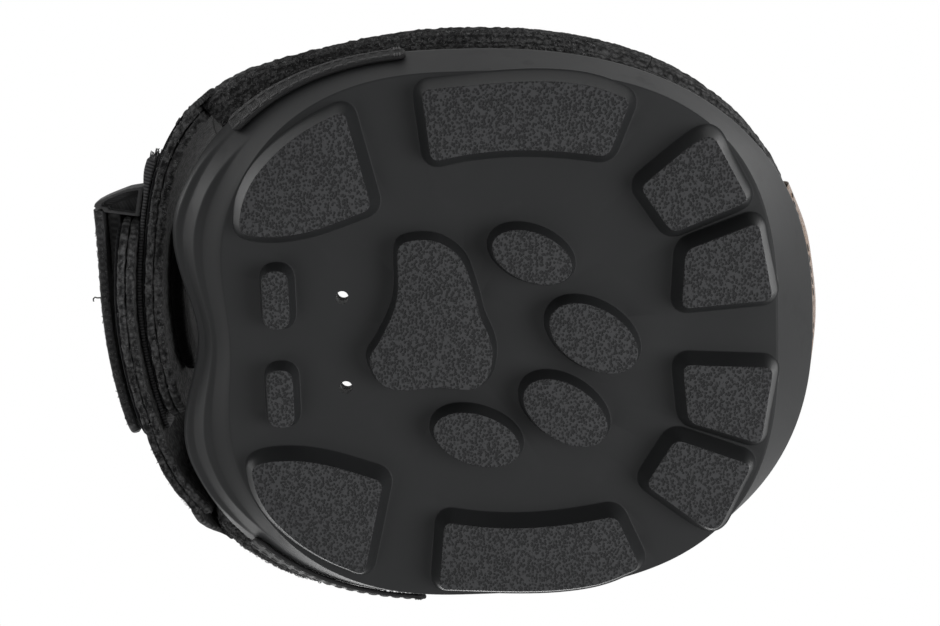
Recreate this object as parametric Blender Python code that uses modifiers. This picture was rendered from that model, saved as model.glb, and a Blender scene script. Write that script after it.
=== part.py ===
"""Horse hoof boot: a moulded rubber cup with a textile upper, closed behind the heel by two flaps and a strap.

The toe points along -Y, the heel along +Y, and the lugs stand on z = 0. All sizes are in metres.
Angles round the boot are measured from the toe: 0 at the toe, +90 on the left side, 180 behind the heel.
"""

import math
from collections import namedtuple

import bmesh
import bpy
from mathutils import Matrix, Vector

# Plan outlines: reach ahead of and behind the plan centre, half width, and how square each end is.
Outline = namedtuple("Outline", "centre front rear half_width front_power rear_power notch")

# Rubber cup
CUP_CENTRE = 0.0100
RIM_FRONT = 0.0954
RIM_REAR = 0.0800
RIM_HALF_WIDTH = 0.0748
RIM_NOTCH = 0.0090
RIM_OUTLINE = Outline(CUP_CENTRE, RIM_FRONT, RIM_REAR, RIM_HALF_WIDTH, 2.40, 2.50, RIM_NOTCH)
BASE_FRONT = 0.0838
BASE_REAR = 0.0645
BASE_HALF_WIDTH = 0.0703
BASE_NOTCH = 0.0040
BASE_OUTLINE = Outline(CUP_CENTRE, BASE_FRONT, BASE_REAR, BASE_HALF_WIDTH, 2.90, 2.45, BASE_NOTCH)
NOTCH_HALF_WIDTH = 0.0360
LUG_HEIGHT = 0.0070
BASE_THICKNESS = 0.0050
CUP_HEIGHT = 0.0260
CUP_WALL = 0.0040
LUG_EMBED = 0.0006
# Outer wall of the cup behind the heel, from the base edge to the rim: shares of the flare and of the height.
CUP_PROFILE_SHARES = (
    (0.00, 0.00), (0.10, 0.07), (0.40, 0.30), (0.54, 0.34),
    (0.78, 0.62), (0.92, 0.67), (1.00, 0.84), (1.00, 1.00),
)
# Ahead of the heel the wall runs straight out to the lip, which starts at this share of the height.
LIP_SHARE = 0.84
STEPS_START_ANGLE = 132.0
STEPS_FULL_ANGLE = 150.0

# Tread. Corners are shares of the rim's forward reach and of its half width, for the left side.
TREAD_DRAFT = 0.0024
PAD_DRAFT = 0.0011
CORNER_RADIUS = 0.0025
GENTLE_BEND = 38.0
BEND_SHARE = 0.45
SIDE_LUG_SHARES = (
    (-0.184, 0.640), (-0.066, 0.664), (0.063, 0.673), (0.204, 0.664), (0.350, 0.638), (0.423, 0.832),
    (0.290, 0.895), (0.106, 0.912), (-0.207, 0.890)
)
HEEL_LUG_SHARES = (
    (-0.775, 0.418), (-0.720, 0.398), (-0.625, 0.398), (-0.525, 0.420), (-0.366, 0.485), (-0.438, 0.830),
    (-0.555, 0.770), (-0.648, 0.695), (-0.722, 0.606), (-0.762, 0.518)
)
FRONT_LUG_SHARES = ((0.576, 0.306), (0.562, 0.098), (0.842, 0.119), (0.800, 0.396))
CORNER_LUG_SHARES = ((0.441, 0.530), (0.537, 0.365), (0.773, 0.468), (0.668, 0.700), (0.622, 0.694))
HEEL_BAR_CENTRE_SHARES = (-0.671, 0.176)
HEEL_BAR_LENGTH = 0.0156
HEEL_BAR_WIDTH = 0.0070
DRAIN_CENTRE_SHARES = (-0.474, 0.162)
DRAIN_DIAMETER = 0.0034
# Centre pad, once round, with negative cross shares on the right side.
CENTRE_PAD_SHARES = (
    (-0.286, -0.364), (-0.233, -0.376), (-0.176, -0.369), (-0.130, -0.338), (-0.094, -0.293), (-0.064, -0.174),
    (-0.050, -0.092), (-0.023, -0.023), (-0.013, 0.039), (-0.027, 0.120), (-0.063, 0.159), (-0.098, 0.168),
    (-0.192, 0.151), (-0.309, 0.164), (-0.368, 0.135), (-0.393, 0.072), (-0.396, 0.031), (-0.362, -0.016),
    (-0.297, -0.163), (-0.299, -0.330)
)
# Oval pads: place, and half sizes as shares of the rim's half width.
OvalPad = namedtuple("OvalPad", "forward_share cross_share half_length_share half_width_share turn")
OVAL_PADS = (
    OvalPad(0.112, -0.298, 0.147, 0.087, 24.0),
    OvalPad(0.293, -0.005, 0.171, 0.106, 33.0),
    OvalPad(0.201, 0.259, 0.166, 0.100, 35.0),
    OvalPad(-0.074, 0.346, 0.158, 0.092, 20.0),
)

# Insole
INSOLE_THICKNESS = 0.0040
FIT_GAP = 0.0003
SEAT_GAP = 0.0005
INSOLE_EDGE_GAP = 0.0008

# Textile upper: outlines of its outer face at four heights.
BULGE_RISE = 0.0130
BULGE_HEIGHT = CUP_HEIGHT + BULGE_RISE
BULGE_FRONT = 0.0958
BULGE_REAR = 0.0855
BULGE_HALF_WIDTH = 0.0790
BULGE_OUTLINE = Outline(CUP_CENTRE, BULGE_FRONT, BULGE_REAR, BULGE_HALF_WIDTH, 2.35, 2.60, 0.0)
SHIN_RISE = 0.0210
SHIN_HEIGHT = BULGE_HEIGHT + SHIN_RISE
SHIN_CENTRE = 0.0180
SHIN_FRONT = 0.0855
SHIN_REAR = 0.0780
SHIN_HALF_WIDTH = 0.0762
SHIN_OUTLINE = Outline(SHIN_CENTRE, SHIN_FRONT, SHIN_REAR, SHIN_HALF_WIDTH, 2.25, 2.40, 0.0)
NECK_RISE = 0.0220
NECK_HEIGHT = SHIN_HEIGHT + NECK_RISE
NECK_CENTRE = 0.0260
NECK_FRONT = 0.0735
NECK_REAR = 0.0705
NECK_HALF_WIDTH = 0.0695
NECK_OUTLINE = Outline(NECK_CENTRE, NECK_FRONT, NECK_REAR, NECK_HALF_WIDTH, 2.15, 2.30, 0.0)
COLLAR_RISE = 0.0220
COLLAR_HEIGHT = NECK_HEIGHT + COLLAR_RISE
COLLAR_CENTRE = 0.0340
COLLAR_FRONT = 0.0640
COLLAR_REAR = 0.0625
COLLAR_HALF_WIDTH = 0.0615
COLLAR_OUTLINE = Outline(COLLAR_CENTRE, COLLAR_FRONT, COLLAR_REAR, COLLAR_HALF_WIDTH, 2.10, 2.25, 0.0)
# The textile is drawn in under the outer flap, and stands out at the inner flap's root.
LEFT_SWAY = -0.0038
RIGHT_SWAY = 0.0030
LEFT_FLANK_SWAY = 0.0012
RIGHT_FLANK_SWAY = -0.0013
Sway = namedtuple("Sway", "start full fade stop size")
HEEL_SWAYS = (
    Sway(139.5, 146.0, 155.0, 186.0, LEFT_SWAY),
    Sway(193.0, 219.0, 219.0, 245.0, RIGHT_SWAY),
    Sway(108.0, 126.0, 134.0, 146.0, LEFT_FLANK_SWAY),
    Sway(226.0, 246.0, 246.0, 270.0, RIGHT_FLANK_SWAY),
)
COLLAR_DROP = 0.0160
SHELL_THICKNESS = 0.0020
LINING_THICKNESS = 0.0024
PANEL_SEAM_ANGLE = 52.0
LEFT_QUARTER_END_ANGLE = 155.0
RIGHT_QUARTER_END_ANGLE = 138.0
SEAM_GAP = 0.0006
COLLAR_END_ANGLE = 124.0
COLLAR_PAD_RADIUS = 0.0062
COLLAR_TAPE_WIDTH = 0.0110
COLLAR_TAPE_DROP = 0.0020
TAPE_THICKNESS = 0.0010
SEAM_TAPE_WIDTH = 0.0140

# Toe guard and the two tabs sewn over the rim
TOE_GUARD_HALF_ANGLE = 21.0
TOE_GUARD_RISE = 0.0050
TOE_GUARD_LOW = CUP_HEIGHT + TOE_GUARD_RISE
TOE_GUARD_HEIGHT = 0.0330
TOE_GUARD_THICKNESS = 0.0012
TOE_GUARD_CORNER = 0.0020
RIM_TAB_START_ANGLE = 99.0
RIM_TAB_END_ANGLE = 136.0
RIM_TAB_DROP = 0.0092
RIM_TAB_LOW = CUP_HEIGHT - RIM_TAB_DROP
RIM_TAB_HEIGHT = 0.0058
RIM_TAB_THICKNESS = 0.0013
RIM_TAB_CORNER = 0.0024

# Heel flaps. Layers are stacked outwards from the outer face of the upper.
FLAP_RISE = 0.0015
FLAP_LOW = CUP_HEIGHT + FLAP_RISE
FLAP_HEIGHT = 0.0560
FLAP_CORNER = 0.0100
INNER_FLAP_END_ANGLE = 162.5
INNER_FLAP_ROOT_ANGLE = 221.7
LOOP_THICKNESS = 0.0009
HOOK_THICKNESS = 0.0013
STRAP_PATCH_THICKNESS = 0.0008
FLAP_LINING_THICKNESS = 0.0022
FLAP_SHELL_THICKNESS = 0.0020
OUTER_FLAP_ROOT_ANGLE = 144.0
OUTER_FLAP_END_ANGLE = 200.0
HOOK_START_ANGLE = 161.0
HOOK_OVERHANG_ANGLE = 8.5
HOOK_INSET = 0.0050
PATCH_INSET_ANGLE = 1.5
HEEL_PAD_ANGLE = 168.0
HEEL_PAD_END_ANGLE = 200.0
HEEL_PAD_THICKNESS = 0.0035
HEEL_PAD_INSET = 0.0140

# Locking strap, sewn to the free end of the outer flap and folded back over it
STRAP_RISE = 0.0055
STRAP_LOW = FLAP_LOW + STRAP_RISE
STRAP_WIDTH = 0.0280
STRAP_THICKNESS = 0.0026
STRAP_ROOT_ANGLE = 200.5
STRAP_END_ANGLE = 161.5
STRAP_CORNER = 0.0055
STRAP_ROOT_LIFT = 0.0032
STRAP_PATCH_LENGTH_ANGLE = 13.0
# Plan of the folded webbing: angles past the flap's free end, and shares of the way to the strap's outer face.
ANCHOR_FLAP_ANGLE = 200.4
ANCHOR_STRAP_ANGLE = 200.9
ANCHOR_PLAN = ((205.6, 0.0), (204.6, 0.35), (202.6, 0.80), (201.7, 0.97), (ANCHOR_STRAP_ANGLE, 1.0))
STRAP_PATCH_INSET = 0.0025

# Surface sampling
ANGLE_STEP = 5.0
ROW_MARGIN = 0.0015
FLAP_ROWS = 7
ROUND_SIDES = 24
OVERRUN = 0.0020
STATIONS = (
    (BULGE_HEIGHT, BULGE_OUTLINE),
    (SHIN_HEIGHT, SHIN_OUTLINE),
    (NECK_HEIGHT, NECK_OUTLINE),
    (COLLAR_HEIGHT, COLLAR_OUTLINE),
)
FLOOR_HEIGHT = LUG_HEIGHT + BASE_THICKNESS
UPPER_FOOT = FLOOR_HEIGHT + INSOLE_THICKNESS + 2 * FIT_GAP
LOOP_OFFSET = FIT_GAP
HOOK_OFFSET = LOOP_OFFSET + LOOP_THICKNESS + FIT_GAP
FLAP_LINING_OFFSET = HOOK_OFFSET + HOOK_THICKNESS + FIT_GAP
FLAP_SHELL_OFFSET = FLAP_LINING_OFFSET + FLAP_LINING_THICKNESS + FIT_GAP
OUTER_LOOP_OFFSET = FLAP_SHELL_OFFSET + FLAP_SHELL_THICKNESS + FIT_GAP
STRAP_PATCH_OFFSET = OUTER_LOOP_OFFSET + LOOP_THICKNESS + FIT_GAP
STRAP_OFFSET = STRAP_PATCH_OFFSET + STRAP_PATCH_THICKNESS + FIT_GAP

Finish = namedtuple("Finish", "colour roughness metallic")
FINISHES = {
    "rubber": Finish((0.032, 0.033, 0.034), 0.55, 0.0),
    "foam": Finish((0.045, 0.045, 0.048), 0.90, 0.0),
    "textile": Finish((0.012, 0.012, 0.013), 0.92, 0.0),
    "lining": Finish((0.020, 0.020, 0.022), 0.95, 0.0),
    "tape": Finish((0.016, 0.016, 0.017), 0.80, 0.0),
    "brown_leather": Finish((0.230, 0.125, 0.065), 0.60, 0.0),
    "black_leather": Finish((0.018, 0.018, 0.019), 0.45, 0.0),
    "hook_tape": Finish((0.018, 0.018, 0.019), 0.70, 0.0),
    "loop_pile": Finish((0.014, 0.014, 0.015), 0.98, 0.0),
    "webbing": Finish((0.015, 0.015, 0.016), 0.85, 0.0),
}


def clear_scene():
    for obj in list(bpy.data.objects):
        bpy.data.objects.remove(obj, do_unlink=True)


def new_collection(name):
    collection = bpy.data.collections.new(name)
    bpy.context.scene.collection.children.link(collection)
    return collection


def finish_material(name):
    found = bpy.data.materials.get(name)
    if found:
        return found
    finish = FINISHES[name]
    material = bpy.data.materials.new(name)
    material.use_nodes = True
    shader = material.node_tree.nodes["Principled BSDF"]
    shader.inputs["Base Color"].default_value = (*finish.colour, 1.0)
    shader.inputs["Roughness"].default_value = finish.roughness
    shader.inputs["Metallic"].default_value = finish.metallic
    return material


def add_object(name, mesh, material, collection, parent):
    """Links a mesh that is modelled in the sole's frame, with its origin moved to its parent's."""
    mesh.transform(Matrix.Translation(-sole_place(parent)))
    obj = bpy.data.objects.new(name, mesh)
    obj.data.materials.append(finish_material(material))
    collection.objects.link(obj)
    obj.parent = parent
    return obj


def mesh_from_bmesh(name, bm):
    mesh = bpy.data.meshes.new(name)
    bmesh.ops.recalc_face_normals(bm, faces=bm.faces)
    bm.to_mesh(mesh)
    bm.free()
    mesh.shade_smooth()
    mesh.set_sharp_from_angle(angle=math.radians(35))
    return mesh


def lerp(low, high, share):
    return low + (high - low) * share


def plan_radius(outline, angle):
    """Distance from the plan centre to the outline, in the direction of an angle."""
    turn = math.radians(angle)
    ahead = math.cos(turn) >= 0
    reach = outline.front if ahead else outline.rear
    power = outline.front_power if ahead else outline.rear_power
    along = abs(math.cos(turn)) / reach
    across = abs(math.sin(turn)) / outline.half_width
    radius = (along**power + across**power) ** (-1 / power)
    side = abs(math.sin(turn)) * radius
    if not ahead and side < NOTCH_HALF_WIDTH:
        radius -= outline.notch * math.cos(math.pi / 2 * side / NOTCH_HALF_WIDTH) ** 2
    return radius


def plan_point(centre, radius, angle, height):
    turn = math.radians(angle)
    return Vector((math.sin(turn) * radius, centre - math.cos(turn) * radius, height))


def eased(value, start, stop):
    """0 before the start, 1 after the stop, and a smooth rise between them."""
    share = min(1.0, max(0.0, (value - start) / (stop - start)))
    return math.sin(math.pi / 2 * share) ** 2


def swayed_point(outline, angle, height):
    """A point of the textile, which stands in or out of its outline on the quarters."""
    radius = plan_radius(outline, angle)
    turn = angle % 360
    for sway in HEEL_SWAYS:
        radius += sway.size * eased(turn, sway.start, sway.full) * (1 - eased(turn, sway.fade, sway.stop))
    return plan_point(outline.centre, radius, angle, height)


def share_along(pairs, value):
    """The first entry of share pairs, read where the second entry has this value."""
    for (low, start), (high, stop) in zip(pairs, pairs[1:]):
        if value <= stop:
            return lerp(low, high, (value - start) / (stop - start))
    return pairs[-1][0]


def cup_outer_radius(angle, height):
    share = (height - LUG_HEIGHT) / (CUP_HEIGHT - LUG_HEIGHT)
    straight = min(1.0, share / LIP_SHARE)
    from_toe = min(angle % 360, 360 - angle % 360)
    stepped = eased(from_toe, STEPS_START_ANGLE, STEPS_FULL_ANGLE)
    flare = lerp(straight, share_along(CUP_PROFILE_SHARES, share), stepped)
    return lerp(plan_radius(BASE_OUTLINE, angle), plan_radius(RIM_OUTLINE, angle), flare)


def cup_inner_radius(angle, height):
    straight = (height - LUG_HEIGHT) / (CUP_HEIGHT - LUG_HEIGHT)
    base = plan_radius(BASE_OUTLINE, angle)
    rim = plan_radius(RIM_OUTLINE, angle)
    return lerp(base, rim, straight) - CUP_WALL


def station_slope(index):
    """Change of the outline with height at a station: none at the swell, then as the neighbours run."""
    if index == 0:
        return Outline(*(0.0 for _ in Outline._fields))
    low, first = STATIONS[index - 1]
    high, second = STATIONS[min(index + 1, len(STATIONS) - 1)]
    return Outline(*((b - a) / (high - low) for a, b in zip(first, second)))


def upper_outline(height):
    """Outline of the upper's outer face above the swell, run smoothly through the stations."""
    index = 0
    while index < len(STATIONS) - 2 and height > STATIONS[index + 1][0]:
        index += 1
    low, first = STATIONS[index]
    high, second = STATIONS[index + 1]
    span = high - low
    t = min(1.0, (height - low) / span)
    starts = zip(first, second, station_slope(index), station_slope(index + 1))
    rise = 3 * t**2 - 2 * t**3
    weights = (1 - rise, rise, (t**3 - 2 * t**2 + t) * span, (t**3 - t**2) * span)
    return Outline(*(sum(w * value for w, value in zip(weights, values)) for values in starts))


def upper_face(angle, height):
    """Outer face of the textile upper: inside the cup, out over the rim, then in and back to the collar."""
    cup_top = CUP_HEIGHT + FIT_GAP
    if height <= cup_top:
        radius = cup_inner_radius(angle, min(height, CUP_HEIGHT)) - SEAT_GAP
        return plan_point(CUP_CENTRE, radius, angle, height)
    if height < BULGE_HEIGHT:
        start = cup_inner_radius(angle, CUP_HEIGHT) - SEAT_GAP
        swell = math.sin(math.pi / 2 * (height - cup_top) / (BULGE_HEIGHT - cup_top))
        foot = plan_point(CUP_CENTRE, start, angle, height)
        return lerp(foot, swayed_point(BULGE_OUTLINE, angle, height), swell)
    return swayed_point(upper_outline(height), angle, height)


def flap_face(angle, height):
    """The face that the heel flaps lie on: upright below the swell's height, then as the upper."""
    level = max(height, BULGE_HEIGHT)
    point = swayed_point(upper_outline(level), angle, level)
    return Vector((point.x, point.y, height))


def collar_edge(angle):
    """Height of the collar line, which drops towards the heel."""
    return COLLAR_HEIGHT - COLLAR_DROP * (1 - math.cos(math.radians(angle))) / 2


def upper_levels(angle):
    """Heights of the upper's shared rows: fixed up to the neck, then spread up to the collar line."""
    cup_top = CUP_HEIGHT + FIT_GAP
    swell = [lerp(cup_top, BULGE_HEIGHT, share) for share in (0.0, 0.30, 0.62, 1.0)]
    shin = [lerp(BULGE_HEIGHT, SHIN_HEIGHT, share) for share in (0.35, 1.0)]
    neck = [lerp(SHIN_HEIGHT, NECK_HEIGHT, 0.65)]
    top = [lerp(neck[-1], collar_edge(angle), share) for share in (0.5, 1.0)]
    return [UPPER_FOOT, *swell, *shin, *neck, *top]


def flap_levels(angle):
    shares = [index / FLAP_ROWS for index in range(FLAP_ROWS + 1)]
    return [FLAP_LOW + FLAP_HEIGHT * share for share in shares]


class Surface:
    """A curved face held as a grid of points, so that every layer on it follows the same facets."""

    def __init__(self, face, levels):
        self.face = face
        self.levels = levels
        self.nodes = {}

    def normal(self, angle, height):
        turn_step = ANGLE_STEP / 5
        height_step = FIT_GAP
        around = self.face(angle + turn_step, height) - self.face(angle - turn_step, height)
        upward = self.face(angle, height + height_step) - self.face(angle, height - height_step)
        return around.cross(upward).normalized()

    def node(self, column, row, offset):
        key = (column, row)
        if key not in self.nodes:
            angle = column * ANGLE_STEP
            height = self.levels(angle)[row]
            self.nodes[key] = (self.face(angle, height), self.normal(angle, height))
        place, normal = self.nodes[key]
        return place + normal * offset

    def point(self, angle, height, offset=0.0):
        column = math.floor(angle / ANGLE_STEP)
        share = angle / ANGLE_STEP - column
        sides = zip(self.levels(column * ANGLE_STEP), self.levels((column + 1) * ANGLE_STEP))
        heights = [lerp(left, right, share) for left, right in sides]
        row = 0
        while row < len(heights) - 2 and height > heights[row + 1]:
            row += 1
        rise = (height - heights[row]) / (heights[row + 1] - heights[row])
        low = lerp(self.node(column, row, offset), self.node(column + 1, row, offset), share)
        high = lerp(self.node(column, row + 1, offset), self.node(column + 1, row + 1, offset), share)
        return lerp(low, high, rise)


UPPER = Surface(upper_face, upper_levels)
HEEL = Surface(flap_face, flap_levels)


def angles_between(start, stop):
    """Both ends, and the whole steps between them, so that stacked layers share their facets."""
    first = math.floor(start / ANGLE_STEP) + 1
    last = math.ceil(stop / ANGLE_STEP)
    inner = [index * ANGLE_STEP for index in range(first, last)]
    inner = [angle for angle in inner if angle - start > ANGLE_STEP / 10 and stop - angle > ANGLE_STEP / 10]
    return [start, *inner, stop]


def corner_angles(start, stop, corner, radius, halves=False):
    """Angles for a panel with rounded ends: shared steps, their halves if asked, and finer ones in corners."""
    corner_turn = math.degrees(corner / radius)
    fine = []
    for end, way in ((start, 1), (stop, -1)):
        fine += [end + way * corner_turn * share for share in (0.0, 0.12, 0.35, 0.65)]
    shared = angles_between(start, stop)
    if halves:
        shared += [(left + right) / 2 for left, right in zip(shared, shared[1:])]
    return sorted(fine + [a for a in shared if start + corner_turn <= a <= stop - corner_turn])


def corner_inset(angle, start, stop, corner, radius, ends):
    """How far a rounded corner draws the panel's edges in at this angle."""
    inset = 0.0
    for end, rounded_end in zip((start, stop), ends):
        distance = math.radians(abs(angle - end)) * radius
        if rounded_end and distance < corner:
            inset = max(inset, corner - math.sqrt(corner**2 - (corner - distance) ** 2))
    return inset


def grid_mesh(name, rows):
    """An open surface through rows of points."""
    bm = bmesh.new()
    grid = [[bm.verts.new(point) for point in row] for row in rows]
    for low, high in zip(grid, grid[1:]):
        for a, b, c, d in zip(low, low[1:], high[1:], high):
            bm.faces.new((a, b, c, d))
    mesh = bpy.data.meshes.new(name)
    bm.to_mesh(mesh)
    bm.free()
    mesh.shade_smooth()
    return mesh


def thicken(obj, thickness, outward):
    solidify = obj.modifiers.new("Thickness", "SOLIDIFY")
    solidify.thickness = thickness
    solidify.offset = 1.0 if outward else -1.0
    return obj


def wall_rows(angles, offset):
    """Rows from the foot of the upper to its collar line."""
    columns = [[UPPER.point(angle, height, offset) for height in UPPER.levels(angle)] for angle in angles]
    return [list(row) for row in zip(*columns)]


def add_wall(name, start, stop, offset, thickness, material, collection, parent):
    mesh = grid_mesh(name, wall_rows(angles_between(start, stop), offset))
    obj = add_object(name, mesh, material, collection, parent)
    return thicken(obj, thickness, outward=False)


def panel_shares(surface, low, height):
    """Rows of a panel as shares of its height: its edges and the surface's levels between them."""
    inner = [level for level in surface.levels(0) if low + ROW_MARGIN < level < low + height - ROW_MARGIN]
    return [0.0, *((level - low) / height for level in inner), 1.0]


def add_panel(name, surface, sizes, layer, material, collection, parent, shift=None, ends=(True, True)):
    """A patch of even thickness with rounded corners. sizes: start, stop, low, height, corner."""
    start, stop, low, height, corner = sizes
    offset, thickness = layer
    radius = BULGE_REAR
    rows = []
    for share in panel_shares(surface, low, height):
        row = []
        for angle in corner_angles(start, stop, corner, radius, halves=bool(shift)):
            inset = corner_inset(angle, start, stop, corner, radius, ends)
            place = lerp(low + inset, low + height - inset, share)
            row.append(surface.point(angle, place, offset + (shift(angle) if shift else 0.0)))
        rows.append(row)
    obj = add_object(name, grid_mesh(name, rows), material, collection, parent)
    return thicken(obj, thickness, outward=True)


def tube_mesh(name, points, radius):
    """A capped round tube through points, made as a curve and turned into a welded mesh."""
    curve = bpy.data.curves.new(name, "CURVE")
    curve.dimensions = "3D"
    curve.bevel_depth = radius
    curve.bevel_resolution = 1
    curve.use_fill_caps = True
    spline = curve.splines.new("POLY")
    spline.points.add(len(points) - 1)
    for target, point in zip(spline.points, points):
        target.co = (*point, 1.0)
    guide = bpy.data.objects.new(name + "_guide", curve)
    bpy.context.scene.collection.objects.link(guide)
    graph = bpy.context.evaluated_depsgraph_get()
    mesh = bpy.data.meshes.new_from_object(guide.evaluated_get(graph))
    bpy.data.objects.remove(guide, do_unlink=True)
    bm = bmesh.new()
    bm.from_mesh(mesh)
    bmesh.ops.remove_doubles(bm, verts=bm.verts, dist=FIT_GAP / 30)
    bmesh.ops.recalc_face_normals(bm, faces=bm.faces)
    bm.to_mesh(mesh)
    bm.free()
    mesh.name = name
    mesh.shade_smooth()
    return mesh


def ring(outline_radius, centre, height):
    turns = round(360 / ANGLE_STEP)
    angles = [index * ANGLE_STEP for index in range(turns)]
    return [plan_point(centre, outline_radius(angle), angle, height) for angle in angles]


def loft_closed(name, rings):
    """A closed body through rings of equal count, capped at the first and the last."""
    bm = bmesh.new()
    loops = [[bm.verts.new(point) for point in points] for points in rings]
    for low, high in zip(loops, loops[1:]):
        for a, b, c, d in zip(low, low[1:] + low[:1], high[1:] + high[:1], high):
            bm.faces.new((a, b, c, d))
    bm.faces.new(loops[0])
    bm.faces.new(list(reversed(loops[-1])))
    return mesh_from_bmesh(name, bm)


def cup_rings():
    centre = CUP_CENTRE
    rings = []
    for _, height_share in CUP_PROFILE_SHARES:
        height = lerp(LUG_HEIGHT, CUP_HEIGHT, height_share)
        rings.append(ring(lambda a, h=height: cup_outer_radius(a, h), centre, height))
    for height in (CUP_HEIGHT, FLOOR_HEIGHT):
        rings.append(ring(lambda a, h=height: cup_inner_radius(a, h), centre, height))
    return rings


def tread_point(forward_share, cross_share, side=1):
    forward = forward_share * (RIM_FRONT - CUP_CENTRE)
    return Vector((side * cross_share * RIM_HALF_WIDTH, -forward))


def rounded_outline(corners, radius, steps=4):
    """Cuts each sharp corner with a short curve, and runs gentle bends together."""
    points = []
    for before, corner, after in zip(corners[-1:] + corners[:-1], corners, corners[1:] + corners[:1]):
        reach_in = (before - corner).length * BEND_SHARE
        reach_out = (after - corner).length * BEND_SHARE
        if (corner - before).angle(after - corner) > math.radians(GENTLE_BEND):
            reach_in = min(radius, reach_in)
            reach_out = min(radius, reach_out)
        start = corner + (before - corner).normalized() * reach_in
        stop = corner + (after - corner).normalized() * reach_out
        for step in range(steps + 1):
            share = step / steps
            points.append(lerp(lerp(start, corner, share), lerp(corner, stop, share), share))
    return points


def signed_area(points):
    return sum(a.x * b.y - b.x * a.y for a, b in zip(points, points[1:] + points[:1])) / 2


def grown_outline(points, distance):
    """Moves an outline outwards by a distance."""
    way = 1 if signed_area(points) > 0 else -1
    grown = []
    for before, point, after in zip(points[-1:] + points[:-1], points, points[1:] + points[:1]):
        along = (after - before).normalized()
        grown.append(point + Vector((along.y, -along.x)) * distance * way)
    return grown


def tread_outlines():
    """Each lug's ground face outline and its draft."""
    outlines = []
    for side in (1, -1):
        for shares in (SIDE_LUG_SHARES, HEEL_LUG_SHARES, FRONT_LUG_SHARES, CORNER_LUG_SHARES):
            corners = [tread_point(forward, cross, side) for forward, cross in shares]
            outlines.append((rounded_outline(corners, CORNER_RADIUS), TREAD_DRAFT))
        outlines.append((heel_bar_outline(side), PAD_DRAFT))
    centre_pad = [tread_point(forward, cross) for forward, cross in CENTRE_PAD_SHARES]
    outlines.append((rounded_outline(centre_pad, CORNER_RADIUS, steps=2), PAD_DRAFT))
    outlines += [(oval_outline(oval), PAD_DRAFT) for oval in OVAL_PADS]
    return outlines


def heel_bar_outline(side):
    centre = tread_point(*HEEL_BAR_CENTRE_SHARES, side)
    half_length = HEEL_BAR_LENGTH / 2
    half_width = HEEL_BAR_WIDTH / 2
    signs = ((1, 1), (-1, 1), (-1, -1), (1, -1))
    corners = [centre + Vector((across * half_length, along * half_width)) for across, along in signs]
    return rounded_outline(corners, half_width)


def oval_outline(oval):
    centre = tread_point(oval.forward_share, oval.cross_share)
    turn = Matrix.Rotation(math.radians(oval.turn - 90), 2)
    points = []
    for index in range(ROUND_SIDES):
        angle = math.tau * index / ROUND_SIDES
        local = Vector((math.cos(angle) * oval.half_length_share, math.sin(angle) * oval.half_width_share))
        points.append(centre + turn @ local * RIM_HALF_WIDTH)
    return points


def tread_mesh():
    """All lugs and pads: drafted blocks that reach a little into the base."""
    bm = bmesh.new()
    top = LUG_HEIGHT + LUG_EMBED
    for outline, draft in tread_outlines():
        low = [bm.verts.new((*point, 0.0)) for point in outline]
        high = [bm.verts.new((*point, top)) for point in grown_outline(outline, draft)]
        for a, b, c, d in zip(low, low[1:] + low[:1], high[1:] + high[:1], high):
            bm.faces.new((a, b, c, d))
        bm.faces.new(low)
        bm.faces.new(list(reversed(high)))
    return mesh_from_bmesh("tread", bm)


def add_cutter(name, mesh, cutters, parent):
    cutter = add_object(name, mesh, "rubber", cutters, parent)
    cutter.hide_render = True
    cutter.display_type = "WIRE"
    return cutter


def add_boolean(obj, cutter, operation):
    boolean = obj.modifiers.new(cutter.name, "BOOLEAN")
    boolean.operation = operation
    boolean.object = cutter
    boolean.solver = "EXACT"


def drain_mesh():
    bm = bmesh.new()
    depth = FLOOR_HEIGHT + INSOLE_THICKNESS + 2 * OVERRUN
    for side in (1, -1):
        place = tread_point(*DRAIN_CENTRE_SHARES, side)
        matrix = Matrix.Translation((*place, depth / 2 - OVERRUN / 2))
        radius = DRAIN_DIAMETER / 2
        sizes = {"radius1": radius, "radius2": radius, "depth": depth}
        bmesh.ops.create_cone(bm, cap_ends=True, segments=ROUND_SIDES // 2, matrix=matrix, **sizes)
    return mesh_from_bmesh("drains", bm)


def make_outsole(parts, cutters, boot):
    outsole = add_object("outsole", loft_closed("outsole", cup_rings()), "rubber", parts, boot)
    tread = add_cutter("tread_blocks", tread_mesh(), cutters, boot)
    drains = add_cutter("drain_cutters", drain_mesh(), cutters, boot)
    add_boolean(outsole, tread, "UNION")
    add_boolean(outsole, drains, "DIFFERENCE")
    return drains


def make_insole(parts, boot, drains):
    low = FLOOR_HEIGHT + FIT_GAP
    heights = (low, low + INSOLE_THICKNESS)

    def edge(angle):
        return cup_inner_radius(angle, FLOOR_HEIGHT) - INSOLE_EDGE_GAP

    rings = [ring(edge, CUP_CENTRE, height) for height in heights]
    insole = add_object("insole", loft_closed("insole", rings), "foam", parts, boot)
    add_boolean(insole, drains, "DIFFERENCE")


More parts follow.
